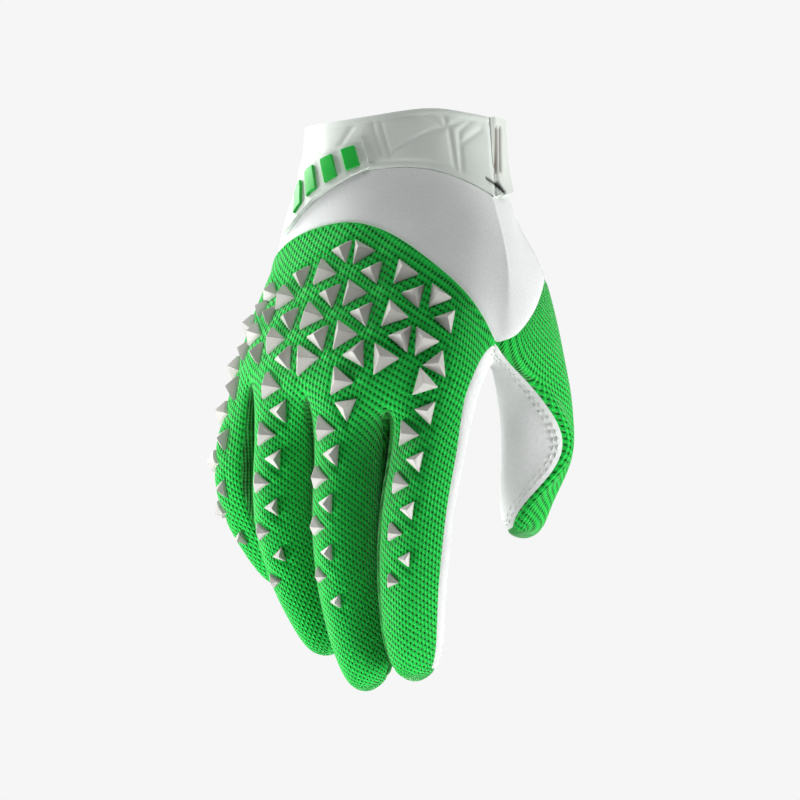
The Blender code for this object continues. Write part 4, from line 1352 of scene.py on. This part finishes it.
def add_plate(surface, grey, green):
    """The cuff's plate: a grey base with a lip and four plain ribs."""
    top = PIECE_GAP * 1.6 + BADGE_WALL
    heights = (PLATE_FOOT, top)
    plate_piece("cuff_plate", surface, (0, 1, 49), (0, 1, 17), heights, grey, "badge_plate", "cuff_badge")
    heights = (top - RIB_ROOT, top + PIECE_GAP + BAR_WALL)
    for number, bar in enumerate(PLATE_BARS, 1):
        name, node = f"cuff_plate_rib_{number}", f"cuff_badge_bar_{number}"
        plate_piece(name, surface, (*bar, 9), (*BAR_EDGES, 17), heights, green, "badge_bars", node)


def add_stitches(surface, thread):
    """The two rows of stitches along the thumb's suede."""
    suede, green = ("thumb_suede",), ("thumb_mesh",)
    runs = [run for run in surface.chains(suede, green) if len(run) > 12]
    inner = [seam_path(surface, run, inset) for run in runs for inset in STITCH_INSETS]
    stitch_row("thumb_stitches", inner, thread, "thumb_suede")


def area_light(middle, name, turn, rise, size, power):
    """A soft light facing the glove. turn is in degrees from the camera's side towards the thumb's side."""
    data = bpy.data.lights.new(name, "AREA")
    data.shape = "SQUARE"
    data.size = size
    data.energy = power
    light = placed(name, data)
    turn, rise = math.radians(turn), math.radians(rise)
    way = Vector((math.sin(turn) * math.cos(rise), -math.cos(turn) * math.cos(rise), math.sin(rise)))
    light.location = middle + way * LIGHT_DISTANCE
    light.rotation_euler = (-way).to_track_quat("-Z", "Y").to_euler()
    light.visible_camera = False


def add_studio():
    """Camera, soft lights, a pale floor and a pale surround."""
    middle = Vector((-0.0016, 0.0, -0.0909))
    data = bpy.data.cameras.new("camera")
    data.sensor_width = 36.0
    data.lens = 36.0 * CAMERA_DISTANCE / FRAME_WIDTH
    camera = placed("camera", data)
    camera.location = middle + Vector((0, -CAMERA_DISTANCE, 0))
    camera.rotation_euler = (math.radians(90), 0, 0)
    bpy.context.scene.camera = camera

    for row in LIGHTS:
        area_light(middle, *row)

    bpy.context.scene.view_settings.view_transform = "Standard"
    world = bpy.data.worlds.new("soft_room")
    world.use_nodes = True
    sky = world.node_tree.nodes["Background"].inputs
    sky["Color"].default_value = (0.96, 0.98, 1.0, 1)
    sky["Strength"].default_value = WORLD_STRENGTH
    bpy.context.scene.world = world

    surround_look = bpy.data.materials.new("surround")
    surround_look.use_nodes = True
    tree = surround_look.node_tree
    tree.nodes.remove(tree.nodes["Principled BSDF"])
    glow = tree.nodes.new("ShaderNodeEmission")
    glow.inputs["Color"].default_value = (1, 1, 1, 1)
    glow.inputs["Strength"].default_value = BACKGROUND
    tree.links.new(glow.outputs[0], tree.nodes["Material Output"].inputs["Surface"])
    corners = [(x * FLOOR_HALF, y * FLOOR_HALF, FLOOR) for x, y in ((-1, -1), (1, -1), (1, 1), (-1, 1))]
    floor = piece_from("floor", corners, [(0, 1, 2, 3)], surround_look)
    points = []
    around, high = 48, 24
    for j in range(high + 1):
        up = math.pi * j / high
        for i in range(around):
            turn = 2 * math.pi * i / around
            way = Vector((math.sin(up) * math.cos(turn), math.sin(up) * math.sin(turn), math.cos(up)))
            points.append(middle + way * SURROUND)
    surround = piece_from("surround", points, bands(0, around, high + 1), surround_look, 180.0)
    for made in (floor, surround):
        for ray in ("diffuse", "glossy", "transmission", "shadow", "volume_scatter"):
            setattr(made, "visible_" + ray, False)


FRAME_WIDTH = 0.256
CAMERA_DISTANCE = 3.0
LIGHT_DISTANCE = 0.95
Light = namedtuple("Light", "name turn rise size power")
LIGHTS = (
    Light("light_left_high", -112, 28, 0.5, 10.0),
    Light("light_left_low", -85, -32, 0.5, 10.0),
    Light("light_right", 85, -20, 0.5, 11.0),
    Light("light_right_front", 60, -20, 0.5, 2.0),
    Light("light_top", 0, 66, 0.5, 3.8),
    Light("light_back", 180, 0, 0.5, 4.5),
    Light("light_below", -65, -60, 1.0, 9.0),
)
WORLD_STRENGTH = 0.03
BACKGROUND = 0.92
# Radius of the surround, and the floor's level and half its side
SURROUND = 5.6
FLOOR = -0.75
FLOOR_HALF = 5.5

cage = glove_cage()
surface, places = limit_surface(cage)
studs = all_studs(surface)
green = knit_look("green knit", (0.022, 0.74, 0.092), (0.002, 0.13, 0.012), 1.38, 2.03, 0.0009)
thumb_green = knit_look("thumb knit", (0.030, 0.80, 0.10), (0.002, 0.16, 0.01), 1.38, 2.0, 0.0009)
gusset = ribbed_look("ribbed strip", (0.008, 0.30, 0.03), (0.001, 0.05, 0.004), 0.9)
white = stretch_look("white stretch", (0.86, 0.88, 0.87), (0.74, 0.76, 0.75))
palm_look = suede_look("palm suede", (0.80, 0.81, 0.80), (0.64, 0.66, 0.65))
# Painted light: the thumb's suede is the palm's suede made lighter, standing in for light on it
suede = suede_look("thumb suede with painted light", (0.88, 0.90, 0.885), (0.78, 0.80, 0.785))
grey = rubber_look("moulded grey", (0.78, 0.83, 0.78), (0.70, 0.75, 0.70), 0.60)
strap_grey = rubber_look("strap grey", (0.76, 0.80, 0.75), (0.70, 0.74, 0.69), 0.60)
rubber = rubber_look("stud rubber", (0.56, 0.545, 0.52), (0.47, 0.455, 0.43), 0.36)
plate_green = rubber_look("plate green", (0.015, 0.52, 0.055), (0.008, 0.40, 0.040), 0.38)
thread = thread_look("pale thread", (0.80, 0.82, 0.80), (0.58, 0.62, 0.58))

arch = surface.seam_tree(("back_mesh",), ("wrist_panel",))
knit_edges = [
    surface.seam_tree(("back_mesh",), ("palm",)),
    surface.seam_tree(("back_mesh",), STRIP_PANELS),
]
finger_edges = knit_edges + [surface.seam_tree((name,), ("palm",)) for name in STRIP_PANELS]
thumb_edges = [
    surface.seam_tree(("thumb_mesh",), ("thumb_suede", "palm", "wrist_panel")),
    surface.seam_tree(("thumb_suede",), ("palm", "wrist_panel", "back_mesh")),
]
hem = surface.seam_tree(("cuff", "cuff_under_tab"), ("wrist_panel", "palm"))
palm_wrist = surface.seam_tree(("palm",), ("wrist_panel",))

wrist_shape = cloth_shape([arch, hem, palm_wrist, *thumb_edges])
palm_shape = cloth_shape([*finger_edges, palm_wrist, *thumb_edges])
thumb_shape = cloth_shape(thumb_edges)
pieces = [
    ("green_back", "back_mesh", green, "green_knit", MESH_WALL, cloth_shape(knit_edges, [arch], studs)),
    ("white_wrist", "wrist_panel", white, "white_stretch", STRETCH_WALL, wrist_shape),
    ("palm_suede", "palm", palm_look, "pale_palm", SUEDE_WALL, palm_shape),
    ("green_thumb", "thumb_mesh", thumb_green, "green_thumb_knit", MESH_WALL, thumb_shape),
    ("suede_thumb", "thumb_suede", suede, "thumb_suede", SUEDE_WALL, thumb_shape),
]
for node in STRIP_PANELS:
    name = node.replace("fourchette", "strip")
    pieces.append((name, node, gusset, "green_gusset", GUSSET_WALL, cloth_shape(finger_edges)))
for name, node, look, slot, wall, shape in pieces:
    finish_piece(shell(name, surface, places, (node,), look, wall, shape), slot, node)
cuff_members = ("cuff", "cuff_under_tab")
made = shell("moulded_cuff", surface, places, cuff_members, grey, CUFF_WALL, cuff_shape(surface))
finish_piece(made, "moulded_cuff", "cuff")
strap = ("cuff_under_tab",)
made = shell("strap_end", surface, places, strap, strap_grey, -TAB_UNDERSIDE, tab_shape(surface))
finish_piece(made, "cuff_strap", "cuff_tab")
stud_pieces(surface, studs, rubber)
add_plate(surface, grey, plate_green)
add_stitches(surface, thread)
add_studio()
